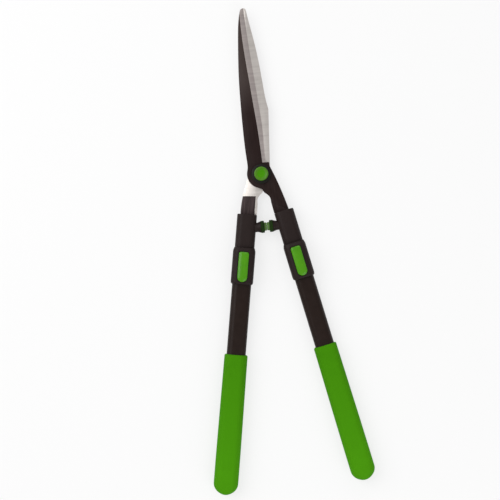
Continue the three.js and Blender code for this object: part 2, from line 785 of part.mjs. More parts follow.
// Compression spring under the lever: one unbroken helix with 5-sided wire.
function springSolid() {
  const turnSteps = 8;
  const wireSides = 5;
  const radius = springRadius - springWire / 2;
  const climb = springHeight - springWire;
  const rings = [];
  for (let step = 0; step <= springTurns * turnSteps; step += 1) {
    const share = step / (springTurns * turnSteps);
    const turn = share * springTurns * 2 * Math.PI;
    const out = new THREE.Vector3(Math.cos(turn), Math.sin(turn), 0);
    const centre = out.clone().multiplyScalar(radius).setZ(springWire / 2 + climb * share);
    const ring = [];
    for (let side = 0; side < wireSides; side += 1) {
      const angle = side / wireSides * 2 * Math.PI;
      const point = centre.clone().addScaledVector(out, springWire / 2 * Math.cos(angle));
      ring.push(point.setZ(centre.z + springWire / 2 * Math.sin(angle)));
    }
    rings.push(ring);
  }
  return loft(rings).translate(0, -(leverStart + springPlace), wellFloor + gap);
}

// Soft grip: swelling sleeve with a round closed end, bored for the tube and its plug.
function gripSolid() {
  const sections = [[-gripMouthRound, 0], [0, gripMouthRound]];
  const rings = sections.map(([inset, down]) => gripRing(
    gripTopWidth + 2 * inset, gripTopThickness + 2 * inset, gripStart + down,
  ));
  const straight = gripLength - gripEndRound;
  gripSwellShares.forEach(([place, swell]) => rings.push(gripRing(
    THREE.MathUtils.lerp(gripTopWidth, gripWidth, swell),
    THREE.MathUtils.lerp(gripTopThickness, gripThickness, swell),
    gripStart + straight * place,
  )));
  const endSteps = 2 * quarterSteps;
  for (let step = 0; step < endSteps; step += 1) {
    const angle = step / endSteps * Math.PI / 2;
    const flatness = Math.sqrt(Math.cos(angle));
    rings.push(gripRing(
      gripWidth * Math.cos(angle), gripThickness * flatness, gripEnd - gripEndRound * (1 - Math.sin(angle)),
    ));
  }
  const bore = downHandle(
    ovalOutline(outerWidth + 2 * gap, outerThickness + 2 * gap), gripStart - overrun, outerEnd + plugFlange + 2 * gap,
  );
  return cut(loft(rings), bore);
}

function gripRing(width, thickness, down) {
  const round = Math.min(gripSideRound, thickness / 2, width / 2);
  return roundedOutline(width, thickness, round).map((point) => new THREE.Vector3(point.x, -down, point.y));
}

// One complete handle for the right side; the left one is its mirror image.
function handle(side, isFront) {
  const group = new THREE.Group();
  const tangMiddle = (isFront ? 1 : -1) * (bladeGap + bladeThickness) / 2;
  const part = (name, solid, material) => group.add(meshOf(`${side}_${name}`, solid, material));
  const innerTube = tubeSolid(innerWidth, innerThickness, innerWall, innerStart, innerEnd);
  const outerTube = tubeSolid(outerWidth, outerThickness, outerWall, outerStart, outerEnd);

  part('housing', housingSolid(tangMiddle), mouldedBlack);
  part('bumper', bumperSolid(), rubberGreen);
  part('inner_tube', cut(innerTube, ...screwHoles()), bareSteel);
  part('tang_insert', insertSolid(tangMiddle), mouldedBlack);
  part('upper_tang_screw', tangScrewSolid(upperScrew), bareSteel);
  part('lower_tang_screw', tangScrewSolid(lowerScrew), bareSteel);
  part('guide_plug', plugSolid(
    innerEnd, innerWidth, innerThickness, innerWall, innerWidth + gap, innerThickness + gap,
  ), mouldedBlack);
  part('outer_tube', cut(outerTube, collarScrewHole()), tubeBlack);
  part('end_plug', plugSolid(
    outerEnd, outerWidth, outerThickness, outerWall, outerWidth, outerThickness,
  ), mouldedBlack);
  part('collar', collarSolid(), mouldedBlack);
  part('collar_screw', collarScrewSolid(), bareSteel);
  part('lock_lever', leverSolid(), mouldedGreen);
  part('lever_pin', leverPinRod(leverPinRadius, leverPinLength), bareSteel);
  part('brake_pad', brakePadSolid(), mouldedBlack);
  part('lever_spring', springSolid(), bareSteel);
  part('grip', gripSolid(), gripGreen);
  return group;
}

function addHandles(root) {
  const angle = THREE.MathUtils.degToRad(handleAngle);
  const right = handle('right', true);
  right.position.set(handleSpread, 0, midHeight);
  right.rotation.z = angle;
  const left = handle('left', false);
  left.position.set(-handleSpread, 0, midHeight);
  left.rotation.z = -angle;
  left.scale.x = -1;
  root.add(right, left);
}

const shears = new THREE.Group();
addBlades(shears);
addPivot(shears);
addHandles(shears);

export default shears;
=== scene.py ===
"""Looks of the telescopic hedge shears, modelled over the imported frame."""

import logging
import math
from contextlib import contextmanager
from dataclasses import dataclass, field
from enum import Enum
from typing import Callable, Iterator, Sequence

import bmesh
import bpy
from mathutils import Matrix, Vector

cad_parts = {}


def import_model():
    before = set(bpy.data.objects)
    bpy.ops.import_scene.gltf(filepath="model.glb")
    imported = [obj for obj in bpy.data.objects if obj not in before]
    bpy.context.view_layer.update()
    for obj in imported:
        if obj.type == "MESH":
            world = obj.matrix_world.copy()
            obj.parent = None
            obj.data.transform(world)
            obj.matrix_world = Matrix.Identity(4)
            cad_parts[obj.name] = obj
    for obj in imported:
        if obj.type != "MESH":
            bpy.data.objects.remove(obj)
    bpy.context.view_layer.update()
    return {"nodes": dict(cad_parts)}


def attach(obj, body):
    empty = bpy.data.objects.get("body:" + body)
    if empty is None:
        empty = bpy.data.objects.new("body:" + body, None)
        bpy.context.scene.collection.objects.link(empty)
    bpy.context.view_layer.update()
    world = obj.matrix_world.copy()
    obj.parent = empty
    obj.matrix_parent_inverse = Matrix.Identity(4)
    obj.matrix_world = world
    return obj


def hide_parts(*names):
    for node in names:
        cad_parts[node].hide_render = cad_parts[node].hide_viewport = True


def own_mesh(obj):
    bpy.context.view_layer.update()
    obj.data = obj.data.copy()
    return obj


LOG = logging.getLogger("shears")
FULL_TURN = 2 * math.pi

# Metres in a millimetre
MM = 0.001

# Points closer than this are merged, in millimetres like the sizes below
WELD = 0.002

# How far a cutting tool reaches past the workpiece
OVER = 2

# Slack of a test by place
NEAR = 0.1

# A face whose unit normal has this share along an axis faces that way
FACING = 0.9

# Faces that meet at less than this angle are shaded as one surface
SMOOTH_ANGLE = math.radians(32)

# Sides of the drill for a screw's hole, and for the sink and the pin hole of the collar
HOLE_SIDES = 24
SINK_SIDES = 32

Point = tuple[float, float]
Place = tuple[float, float, float]
Socket = bpy.types.NodeSocket
Colour = Place | Socket
Ring = Sequence[Place]
Test = Callable[[Vector, Vector], bool]


class Body(Enum):
    """Bodies of one handle: blade with ferrule, sliding tube with collar and grip, rocking lever."""

    HALF = "half"
    TELESCOPE = "telescope"
    LOCK = "lock"


class Side(Enum):
    """The two handles, told apart by the sign of X."""

    RIGHT = 1
    LEFT = -1

    def node(self, name: str) -> str:
        """Full name of a piece of this handle."""
        return f"{self.name.lower()}_{name}"

    def body(self, part: Body) -> str:
        """Full name of a body of this handle."""
        return self.node(part.value)


class Cut(Enum):
    """What a tool body does to a workpiece."""

    TAKE_AWAY = "DIFFERENCE"
    ADD = "UNION"


class Handedness(Enum):
    """Which of the two blades a plate is."""

    FRONT = "front"
    BACK = "back"


# Modelling at the bench, in millimetres


def clear_bench() -> None:
    """Leaves edit mode and deselects everything."""
    if bpy.context.object and bpy.context.object.mode != "OBJECT":
        bpy.ops.object.mode_set(mode="OBJECT")
    bpy.ops.object.select_all(action="DESELECT")


def hold(piece: bpy.types.Object) -> None:
    """Makes one piece the only selected and active one.

    Args:
        piece: The piece to hold.
    """
    clear_bench()
    piece.select_set(True)
    bpy.context.view_layer.objects.active = piece


@contextmanager
def edit(piece: bpy.types.Object, mode: str = "FACE") -> Iterator[None]:
    """Edit mode on one piece, with nothing selected at first.

    Args:
        piece: The piece to edit.
        mode: VERT, EDGE or FACE.

    Returns:
        A context for a with statement, which leaves edit mode at its end.
    """
    hold(piece)
    bpy.ops.object.mode_set(mode="EDIT")
    bpy.ops.mesh.select_mode(type=mode)
    bpy.ops.mesh.select_all(action="DESELECT")
    try:
        yield
    finally:
        bpy.ops.object.mode_set(mode="OBJECT")


def select_faces(piece: bpy.types.Object, test: Test) -> int:
    """Selects the faces that pass a test of their middle and normal.

    Args:
        piece: The piece in edit mode.
        test: Takes a face's middle and normal.

    Returns:
        How many faces are selected.
    """
    bpy.ops.mesh.select_all(action="DESELECT")
    mesh = bmesh.from_edit_mesh(piece.data)
    chosen = [f for f in mesh.faces if test(f.calc_center_median(), f.normal)]
    for face in chosen:
        face.select_set(True)
    bmesh.update_edit_mesh(piece.data)
    return len(chosen)


def loft(name: str, rings: Sequence[Ring]) -> bpy.types.Object:
    """Starts from a filled circle and extrudes it ring after ring.

    Args:
        name: Name of the new piece.
        rings: Rings with equal counts of places, each convex.

    Returns:
        The closed piece.
    """
    clear_bench()
    bpy.ops.mesh.primitive_circle_add(vertices=len(rings[0]), radius=1, fill_type="NGON")
    piece = bpy.context.object
    piece.name = name
    for vertex, place in zip(piece.data.vertices, rings[0]):
        vertex.co = place
    corners = list(range(len(rings[0])))
    with edit(piece):
        bpy.ops.mesh.select_all(action="SELECT")
        for ring in rings[1:]:
            corners = extrude_to(piece, corners, ring)
        bpy.ops.mesh.select_all(action="SELECT")
        bpy.ops.mesh.normals_make_consistent(inside=False)
    return piece


def extrude_to(piece: bpy.types.Object, corners: list[int], ring: Ring) -> list[int]:
    """Extrudes the selected end face and moves its corners to a new ring.

    Args:
        piece: The piece in edit mode, with its end face selected.
        corners: The end's corners, in the order of the ring.
        ring: Their new places.

    Returns:
        The new end's corners, in the same order.
    """
    count = len(bmesh.from_edit_mesh(piece.data).verts)
    bpy.ops.mesh.extrude_region_move()
    mesh = bmesh.from_edit_mesh(piece.data)
    mesh.verts.index_update()
    mesh.verts.ensure_lookup_table()
    new = []
    for corner, place in zip(corners, ring):
        old = mesh.verts[corner]
        twin = next(e.other_vert(old) for e in old.link_edges if e.other_vert(old).index >= count)
        twin.co = place
        new.append(twin.index)
    bmesh.update_edit_mesh(piece.data)
    return new


def draw_line(name: str, points: Sequence[Place]) -> bpy.types.Object:
    """Draws a line of edges by extruding one vertex from point to point.

    Args:
        name: Name of the new piece.
        points: Places that the line runs through.

    Returns:
        The piece with its loose line.
    """
    clear_bench()
    bpy.ops.mesh.primitive_plane_add(size=1)
    piece = bpy.context.object
    piece.name = name
    with edit(piece, "VERT"):
        bpy.ops.mesh.select_all(action="SELECT")
        bpy.ops.mesh.merge(type="CENTER")
        mesh = bmesh.from_edit_mesh(piece.data)
        mesh.verts.ensure_lookup_table()
        mesh.verts[0].co = points[0]
        mesh.verts[0].select_set(True)
        bmesh.update_edit_mesh(piece.data)
        for last, point in zip(points, points[1:]):
            step = Vector(point) - Vector(last)
            bpy.ops.mesh.extrude_vertices_move(TRANSFORM_OT_translate={"value": tuple(step)})
    return piece


def turn(name: str, profile: Sequence[Point], steps: int = 64) -> bpy.types.Object:
    """Turns a profile about Z, as on a lathe.

    Args:
        name: Name of the new piece.
        profile: Pairs of radius and height; both ends on the axis, or a closed loop.
        steps: Facets round the axis.

    Returns:
        The turned piece.
    """
    piece = draw_line(name, [(radius, 0, height) for radius, height in profile])
    with edit(piece, "VERT"):
        bpy.ops.mesh.select_all(action="SELECT")
        bpy.ops.mesh.spin(steps=steps, angle=FULL_TURN, center=(0, 0, 0), axis=(0, 0, 1))
        bpy.ops.mesh.select_all(action="SELECT")
        bpy.ops.mesh.remove_doubles(threshold=WELD)
        bpy.ops.mesh.normals_make_consistent(inside=False)
    return piece


def plate(name: str, outline: Sequence[Point], bottom: float, top: float) -> bpy.types.Object:
    """Cuts a flat plate along a drawn outline.

    Args:
        name: Name of the new piece.
        outline: Corners in order, the last one not repeating the first.
        bottom: Height of the lower face.
        top: Height of the upper face.

    Returns:
        The closed plate.
    """
    piece = draw_line(name, [(x, y, bottom) for x, y in outline])
    with edit(piece, "VERT"):
        bpy.ops.mesh.select_all(action="SELECT")
        bpy.ops.mesh.edge_face_add()
        bpy.ops.mesh.extrude_region_move(TRANSFORM_OT_translate={"value": (0, 0, top - bottom)})
        bpy.ops.mesh.select_all(action="SELECT")
        bpy.ops.mesh.normals_make_consistent(inside=False)
    return piece


def block(name: str, middle: Place, size: Place) -> bpy.types.Object:
    """A plain block, to cut or to join with.

    Args:
        name: Name of the new piece.
        middle: Its middle.
        size: Its size along X, Y and Z.

    Returns:
        The block.
    """
    clear_bench()
    bpy.ops.mesh.primitive_cube_add(size=1, location=middle, scale=size)
    piece = bpy.context.object
    piece.name = name
    bpy.ops.object.transform_apply(location=True, rotation=True, scale=True)
    return piece


def rod(name: str, radius: float, start: Place, end: Place, sides: int = 48) -> bpy.types.Object:
    """A round rod between two places.

    Args:
        name: Name of the new piece.
        radius: Its radius.
        start: Middle of one end.
        end: Middle of the other end.
        sides: Facets round it.

    Returns:
        The rod.
    """
    clear_bench()
    run = Vector(end) - Vector(start)
    bpy.ops.mesh.primitive_cylinder_add(
        vertices=sides,
        radius=radius,
        depth=run.length,
        location=Vector(start) + run / 2,
        rotation=run.to_track_quat("Z", "Y").to_euler(),
    )
    piece = bpy.context.object
    piece.name = name
    bpy.ops.object.transform_apply(location=True, rotation=True, scale=True)
    return piece


def work(piece: bpy.types.Object, tool: bpy.types.Object, how: Cut = Cut.TAKE_AWAY) -> None:
    """Cuts or joins a workpiece with a tool body, which is then thrown away.

    Args:
        piece: The workpiece.
        tool: The tool body.
        how: Whether it cuts or joins.
    """
    hold(piece)
    modifier = piece.modifiers.new("tool", "BOOLEAN")
    modifier.operation = how.value
    modifier.solver = "EXACT"
    modifier.object = tool
    bpy.ops.object.modifier_apply(modifier=modifier.name)
    bpy.data.objects.remove(tool)


def drill(
    piece: bpy.types.Object, radius: float, place: Point, low: float, high: float, sides: int = 48,
) -> None:
    """Drills an upright round hole.

    Args:
        piece: The workpiece.
        radius: Radius of the hole.
        place: Where it stands.
        low: Its lower end.
        high: Its upper end.
        sides: Facets round it.
    """
    work(piece, rod("drill", radius, (*place, low), (*place, high), sides))


def soften(piece: bpy.types.Object, width: float, segments: int = 2, angle: float = 50) -> None:
    """Rounds the sharp edges of a piece.

    Args:
        piece: The piece.
        width: Width of the rounding.
        segments: Facets across it.
        angle: Edges sharper than this many degrees are rounded.
    """
    hold(piece)
    modifier = piece.modifiers.new("edges", "BEVEL")
    modifier.width = width
    modifier.segments = segments
    modifier.limit_method = "ANGLE"
    modifier.angle_limit = math.radians(angle)
    modifier.use_clamp_overlap = True
    bpy.ops.object.modifier_apply(modifier=modifier.name)


def dress(piece: bpy.types.Object, material: bpy.types.Material, test: Test | None = None) -> None:
    """Gives a piece a material, all over or where a test holds.

    Args:
        piece: The piece, before it is settled.
        material: The material.
        test: Takes a face's middle and normal.
    """
    hold(piece)
    if test is None:
        piece.data.materials.clear()
    piece.data.materials.append(material)
    if test is None:
        return
    with edit(piece):
        count = select_faces(piece, test)
        piece.active_material_index = len(piece.data.materials) - 1
        bpy.ops.object.material_slot_assign()
    LOG.info("%s: %d faces are %s", piece.name, count, material.name)


def settle(piece: bpy.types.Object, place: Matrix, body: str, node: str) -> bpy.types.Object:
    """Shades a finished piece, brings it into the frame and ties it to its body.

    Args:
        piece: The piece, modelled in millimetres.
        place: From the bench to the frame, still in millimetres.
        body: The body that it rides on.
        node: The frame's node that it stands for.

    Returns:
        The settled piece.
    """
    hold(piece)
    piece.data.transform(Matrix.Scale(MM, 4) @ place)
    if place.determinant() < 0:
        piece.data.flip_normals()
    bpy.ops.object.shade_smooth_by_angle(angle=SMOOTH_ANGLE)
    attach(piece, body)
    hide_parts(node)
    LOG.info("%s rides on %s with %d faces", piece.name, body, len(piece.data.polygons))
    return piece


def copy_piece(piece: bpy.types.Object, name: str) -> bpy.types.Object:
    """A copy of a piece with a mesh of its own.

    Args:
        piece: The piece to copy.
        name: Name of the copy.

    Returns:
        The copy.
    """
    hold(piece)
    bpy.ops.object.duplicate(linked=False)
    twin = bpy.context.object
    twin.name = name
    return twin


# Drawing


def follow(points: Sequence[Point], steps: int) -> list[Point]:
    """A smooth line through given points.

    Args:
        points: The points, ends included.
        steps: Steps from each point to the next.

    Returns:
        The line's points, ends included.
    """
    path = [points[0], *points, points[-1]]
    line = []
    for a, b, c, d in zip(path, path[1:], path[2:], path[3:]):
        for step in range(steps):
            t = step / steps
            line.append(tuple(
                0.5 * (2 * b[i] + (c[i] - a[i]) * t + (2 * a[i] - 5 * b[i] + 4 * c[i] - d[i]) * t**2
                       + (3 * b[i] - a[i] - 3 * c[i] + d[i]) * t**3)
                for i in (0, 1)
            ))
    return [*line, points[-1]]


def bow(start: Point, control: Point, end: Point, steps: int) -> list[Point]:
    """A quadratic curve, its start left out.

    Args:
        start: Where it starts.
        control: Where its end tangents meet.
        end: Where it ends.
        steps: Facets along it.

    Returns:
        The curve's points after the start.
    """
    shares = [step / steps for step in range(1, steps + 1)]
    return [
        tuple((1 - t) ** 2 * start[i] + 2 * t * (1 - t) * control[i] + t**2 * end[i] for i in (0, 1))
        for t in shares
    ]


def share_at(table: Sequence[Point], place: float) -> float:
    """Value of a listed table at a place, straight from row to row.

    Args:
        table: Pairs of value and place, in the order of the places.
        place: Where the value is wanted.

    Returns:
        The value there, or the nearest end's.
    """
    if place <= table[0][1]:
        return table[0][0]
    for (low, start), (high, end) in zip(table, table[1:]):
        if place <= end:
            return low + (high - low) * (place - start) / (end - start)
    return table[-1][0]


def round_box(width: float, height: float, radius: float, steps: int = 12) -> list[Point]:
    """A rectangle with round corners.

    Args:
        width: Its width.
        height: Its height.
        radius: Radius of its corners.
        steps: Facets round each corner.

    Returns:
        Its points, anticlockwise.
    """
    points = []
    for corner, (right, up) in enumerate([(1, 1), (-1, 1), (-1, -1), (1, -1)]):
        for step in range(steps + 1):
            angle = (corner + step / steps) * math.pi / 2
            points.append((
                right * (width / 2 - radius) + radius * math.cos(angle),
                up * (height / 2 - radius) + radius * math.sin(angle),
            ))
    return points


def across(outline: Sequence[Point], down: float, lift: float = 0) -> list[Place]:
    """Stands an outline across the handle, at a distance down it."""
    return [(x, -down, z + lift) for x, z in outline]


def ease(share: float) -> float:
    """Smooth step from 0 to 1."""
    return share * share * (3 - 2 * share)


def arc_shares(steps: int) -> list[Point]:
    """Sine and cosine over a quarter turn, ends included."""
    angles = [step / steps * math.pi / 2 for step in range(steps + 1)]
    return [(math.sin(angle), math.cos(angle)) for angle in angles]


def lower_edge(reach: float, level: float, radius: float, steps: int) -> list[Point]:
    """Rounded edge from a lower face to the side above it, as pairs of reach and level."""
    return [(reach - radius * (1 - s), level + radius * (1 - c)) for s, c in arc_shares(steps)]


def upper_edge(reach: float, level: float, radius: float, steps: int) -> list[Point]:
    """Rounded edge from a side to the upper face, as pairs of reach and level."""
    return [(reach - radius * (1 - c), level - radius * (1 - s)) for s, c in arc_shares(steps)]


@dataclass(frozen=True)
class HandleLine:
    """The axis of a handle: where it crosses the pivot's level, its half angle and its height."""

    spread: float = 16.4
    angle: float = math.radians(10.77)
    height: float = 13.0

    def bench(self, side: Side) -> Matrix:
        """From a handle's own axis to the frame of the pivot.

        Args:
            side: The handle.

        Returns:
            The turn and shift of its pieces, mirrored for the left handle.
        """
        mirror = Matrix.Diagonal((side.value, 1, 1, 1))
        turned = Matrix.Rotation(self.angle, 4, "Z")
        return mirror @ Matrix.Translation((self.spread, 0, self.height)) @ turned

    def point(self, aside: float, down: float) -> Point:
        """A place aside and down the right handle, in the frame of the pivot."""
        place = Matrix.Rotation(self.angle, 2) @ Vector((aside, -down))
        return (place.x + self.spread, place.y)

    def towards_centre(self, level: float) -> Matrix:
        """Lays a piece that stands on Z so that it points from the middle to the right handle.

        Args:
            level: How far below the pivot it lies.

        Returns:
            From the standing piece to the right handle's own axis.
        """
        middle = Matrix.Rotation(-self.angle, 4, "Z") @ Vector((-self.spread, -level, 0))
        lie = Matrix.Rotation(-self.angle, 4, "Z") @ Matrix.Rotation(math.pi / 2, 4, "Y")
        return Matrix.Translation(middle) @ lie


LINE = HandleLine()


# Finishes


class Recipe:
    """Nodes of one material, added in the order in which they are laid."""

    def __init__(self, name: str) -> None:
        """Starts a material whose patterns follow the object's own coordinates.

        Args:
            name: Name of the material.
        """
        self.material = bpy.data.materials.new(name)
        self.material.use_nodes = True
        self.nodes = self.material.node_tree.nodes
        self.shader = self.nodes["Principled BSDF"]
        self.place = self.nodes.new("ShaderNodeTexCoord").outputs["Object"]

    def join(self, output: Socket, socket: Socket) -> None:
        """Links an output to an input."""
        self.material.node_tree.links.new(output, socket)

    def set(self, **values: float | tuple) -> None:
        """Sets sockets of the shader, named with underscores for spaces."""
        for name, value in values.items():
            self.shader.inputs[name.replace("_", " ")].default_value = value

    def mapped(self, scale: Place, turn: float = 0) -> Socket:
        """Stretched and turned coordinates.

        Args:
            scale: Stretch along each axis.
            turn: Turn about Z, in radians, before the stretch.

        Returns:
            The coordinates' socket.
        """
        turned = self.nodes.new("ShaderNodeVectorRotate")
        turned.rotation_type = "Z_AXIS"
        turned.inputs["Angle"].default_value = turn
        self.join(self.place, turned.inputs["Vector"])
        node = self.nodes.new("ShaderNodeMapping")
        node.inputs["Scale"].default_value = scale
        self.join(turned.outputs["Vector"], node.inputs["Vector"])
        return node.outputs["Vector"]

    def noise(self, scale: float, detail: float, place: Socket | None = None) -> Socket:
        """Value of a noise pattern.

        Args:
            scale: Cells a metre.
            detail: Octaves.
            place: Coordinates, or the object's own.

        Returns:
            The value's socket.
        """
        node = self.nodes.new("ShaderNodeTexNoise")
        node.inputs["Scale"].default_value = scale
        node.inputs["Detail"].default_value = detail
        self.join(place or self.place, node.inputs["Vector"])
        return node.outputs["Fac"]

    def cells(self, scale: float) -> Socket:
        """Distance to the nearest point of a cell pattern.

        Args:
            scale: Cells a metre.

        Returns:
            The distance's socket.
        """
        node = self.nodes.new("ShaderNodeTexVoronoi")
        node.inputs["Scale"].default_value = scale
        self.join(self.place, node.inputs["Vector"])
        return node.outputs["Distance"]

    def rescale(self, value: Socket, to: Point, counts: Point = (0.3, 0.7)) -> Socket:
        """Brings a value from one range to another.

        Args:
            value: The value's socket.
            to: What the lowest and the highest value that counts become.
            counts: The lowest and the highest value that counts.

        Returns:
            The new value's socket.
        """
        node = self.nodes.new("ShaderNodeMapRange")
        for name, number in zip(("From Min", "From Max", "To Min", "To Max"), (*counts, *to)):
            node.inputs[name].default_value = number
        self.join(value, node.inputs["Value"])
        return node.outputs["Result"]

    def blend(self, factor: Socket, first: Colour, second: Colour) -> Socket:
        """Mixes two colours, each plain or a pattern of colours.

        Args:
            factor: How much of the second colour shows, from 0 to 1.
            first: The first colour.
            second: The second colour.

        Returns:
            The mixed colour's socket.
        """
        node = self.nodes.new("ShaderNodeMix")
        node.data_type = "RGBA"
        sockets = [socket for socket in node.inputs if socket.type == "RGBA"]
        for colour, socket in zip((first, second), sockets):
            if isinstance(colour, tuple):
                socket.default_value = (*colour, 1)
            else:
                self.join(colour, socket)
        self.join(factor, node.inputs["Factor"])
        return next(socket for socket in node.outputs if socket.type == "RGBA")

    def along(self) -> Socket:
        """How far along the shears a place is, in metres from the pivot to the tips.

        Returns:
            The distance's socket.
        """
        apart = self.nodes.new("ShaderNodeSeparateXYZ")
        self.join(self.place, apart.inputs["Vector"])
        return apart.outputs["Y"]

    def colour(self, value: Socket) -> None:
        """Sends a colour to the shader."""
        self.join(value, self.shader.inputs["Base Color"])

    def rough(self, pattern: Socket, roughness: float, spread: Point) -> None:
        """Sends a roughness to the shader, varied by a pattern.

        Args:
            pattern: The pattern, from 0 to 1.
            roughness: The roughness before the spread.
            spread: What the pattern takes from it and adds to it.
        """
        varied = self.rescale(pattern, (roughness + spread[0], roughness + spread[1]))
        self.join(varied, self.shader.inputs["Roughness"])

    def relief(self, height: Socket, depth: float, strength: float) -> None:
        """Sends a bump to the shader, on top of the bumps that it has.

        Args:
            height: The pattern, from 0 to 1.
            depth: Its depth in metres.
            strength: How much of it shows.
        """
        node = self.nodes.new("ShaderNodeBump")
        node.inputs["Strength"].default_value = strength
        node.inputs["Distance"].default_value = depth
        before = self.shader.inputs["Normal"]
        if before.is_linked:
            self.join(before.links[0].from_socket, node.inputs["Normal"])
        self.join(height, node.inputs["Height"])
        self.join(node.outputs["Normal"], before)


@dataclass(frozen=True)
class BlackCoat:
    """Satin black coat on steel, faintly brown, with orange peel and an optional painted sheen."""

    name: str = "black_coat"
    dark: Place = (0.0158, 0.0082, 0.0074)
    light: Place = (0.0218, 0.0118, 0.0106)
    roughness: float = 0.40
    roughness_spread: Point = (-0.05, 0.10)
    roughness_cells: float = 120
    peel: float = 1100
    peel_depth: float = 0.00006
    peel_strength: float = 0.5
    shine: float = 0.12
    streak: Place = (420, 26, 420)
    streak_share: Point = (0.35, 0.68)
    turn: float = 0
    # Painted sheen: a lighter brown mixed into the colour, its largest share, and the span in metres along
    # the piece over which it ramps up
    painted_sheen: Place | None = None
    painted_sheen_share: float = 0.8
    painted_sheen_run: Point = (0.092, 0.142)

    def mix(self) -> bpy.types.Material:
        """Makes the material.

        Returns:
            The material.
        """
        recipe = Recipe(self.name)
        recipe.set(Metallic=0.0, Specular_IOR_Level=self.shine)
        streaks = recipe.noise(1, detail=4, place=recipe.mapped(self.streak, self.turn))
        colour = recipe.blend(recipe.rescale(streaks, (0, 1), self.streak_share), self.dark, self.light)
        # Painted sheen: a lighter brown mixed in over a span along the piece, which lightens the coat towards
        # the tips
        if self.painted_sheen:
            fade = recipe.rescale(recipe.along(), (0, self.painted_sheen_share), self.painted_sheen_run)
            colour = recipe.blend(fade, colour, self.painted_sheen)
        recipe.colour(colour)
        recipe.rough(recipe.noise(self.roughness_cells, detail=4), self.roughness, self.roughness_spread)
        recipe.relief(recipe.noise(self.peel, detail=2), self.peel_depth, self.peel_strength)
        return recipe.material


@dataclass(frozen=True)
class GroundSteel:
    """Bare steel with the lines that the grinding wheel leaves across the blade."""

    name: str = "ground_steel"
    dark: Place = (0.476, 0.417, 0.404)
    light: Place = (0.605, 0.538, 0.515)
    roughness: float = 0.38
    roughness_spread: Point = (-0.04, 0.10)
    lines: Place = (60, 1500, 60)
    bands: Place = (30, 260, 30)
    line_depth: float = 0.00001
    line_strength: float = 0.4

    def mix(self) -> bpy.types.Material:
        """Makes the material.

        Returns:
            The material.
        """
        recipe = Recipe(self.name)
        recipe.set(Metallic=1.0)
        lines = recipe.noise(1, detail=3, place=recipe.mapped(self.lines))
        bands = recipe.noise(1, detail=3, place=recipe.mapped(self.bands))
        recipe.colour(recipe.blend(recipe.rescale(bands, (0, 1)), self.dark, self.light))
        recipe.rough(lines, self.roughness, self.roughness_spread)
        recipe.relief(lines, self.line_depth, self.line_strength)
        return recipe.material


@dataclass(frozen=True)
class BrightMetal:
    """Zinc plating or drawn aluminium, with lines along the piece where it was drawn."""

    name: str
    dark: Place
    light: Place
    roughness: float
    roughness_spread: Point = (-0.05, 0.10)
    turn: float = 0
    lines: Place = (300, 300, 300)
    clouds: float = 60
    line_depth: float = 0.00001
    line_strength: float = 0.4

    def mix(self) -> bpy.types.Material:
        """Makes the material.

        Returns:
            The material.
        """
        recipe = Recipe(self.name)
        recipe.set(Metallic=1.0)
        lines = recipe.noise(1, detail=4, place=recipe.mapped(self.lines, self.turn))
        clouds = recipe.rescale(recipe.noise(self.clouds, detail=3), (0, 1))
        recipe.colour(recipe.blend(clouds, self.dark, self.light))
        recipe.rough(lines, self.roughness, self.roughness_spread)
        recipe.relief(lines, self.line_depth, self.line_strength)
        return recipe.material


@dataclass(frozen=True)
class MouldedPlastic:
    """Moulded plastic: its colours, its roughness and the grain of its mould."""

    name: str
    dark: Place
    light: Place
    roughness: float
    shine: float
    grain: float = 1500
    grain_depth: float = 0.00003
    grain_strength: float = 0.5
    clouds: float = 70
    roughness_cells: float = 260
    roughness_spread: Point = (-0.05, 0.08)

    def mix(self) -> bpy.types.Material:
        """Makes the material.

        Returns:
            The material.
        """
        recipe = Recipe(self.name)
        recipe.set(Specular_IOR_Level=self.shine)
        clouds = recipe.rescale(recipe.noise(self.clouds, detail=4), (0, 1))
        recipe.colour(recipe.blend(clouds, self.dark, self.light))
        recipe.rough(recipe.noise(self.roughness_cells, detail=3), self.roughness, self.roughness_spread)
        recipe.relief(recipe.cells(self.grain), self.grain_depth, self.grain_strength)
        return recipe.material


@dataclass(frozen=True)
class SoftSkin:
    """Soft matte skin of the grips, a little paler towards their closed ends."""

    name: str = "grip_skin"
    deep: Place = (0.048, 0.228, 0.0012)
    pale: Place = (0.067, 0.300, 0.0028)
    mottle: Place = (0.057, 0.257, 0.0018)
    mottle_cells: float = 45
    mottle_share: float = 0.6
    end_level: float = -0.47
    mouth_level: float = -0.28
    roughness: float = 0.66
    roughness_spread: Point = (-0.08, 0.08)
    roughness_cells: float = 400
    shine: float = 0.05
    grain: float = 1250
    grain_depth: float = 0.00007
    grain_strength: float = 0.6
    waves: float = 110
    wave_depth: float = 0.00025
    wave_strength: float = 0.25

    def mix(self) -> bpy.types.Material:
        """Makes the material.

        Returns:
            The material.
        """
        recipe = Recipe(self.name)
        recipe.set(Specular_IOR_Level=self.shine)
        fade = recipe.rescale(recipe.along(), (1, 0), (self.end_level, self.mouth_level))
        length = recipe.blend(fade, self.deep, self.pale)
        mottle = recipe.rescale(recipe.noise(self.mottle_cells, detail=5), (0, self.mottle_share))
        recipe.colour(recipe.blend(mottle, length, self.mottle))
        recipe.rough(recipe.noise(self.roughness_cells, detail=4), self.roughness, self.roughness_spread)
        recipe.relief(recipe.cells(self.grain), self.grain_depth, self.grain_strength)
        recipe.relief(recipe.noise(self.waves, detail=3), self.wave_depth, self.wave_strength)
        return recipe.material


Finish = BlackCoat | GroundSteel | BrightMetal | MouldedPlastic | SoftSkin


def mixed(finish: Finish) -> bpy.types.Material:
    """A field of the palette that holds the finish's material."""
    return field(default_factory=finish.mix)


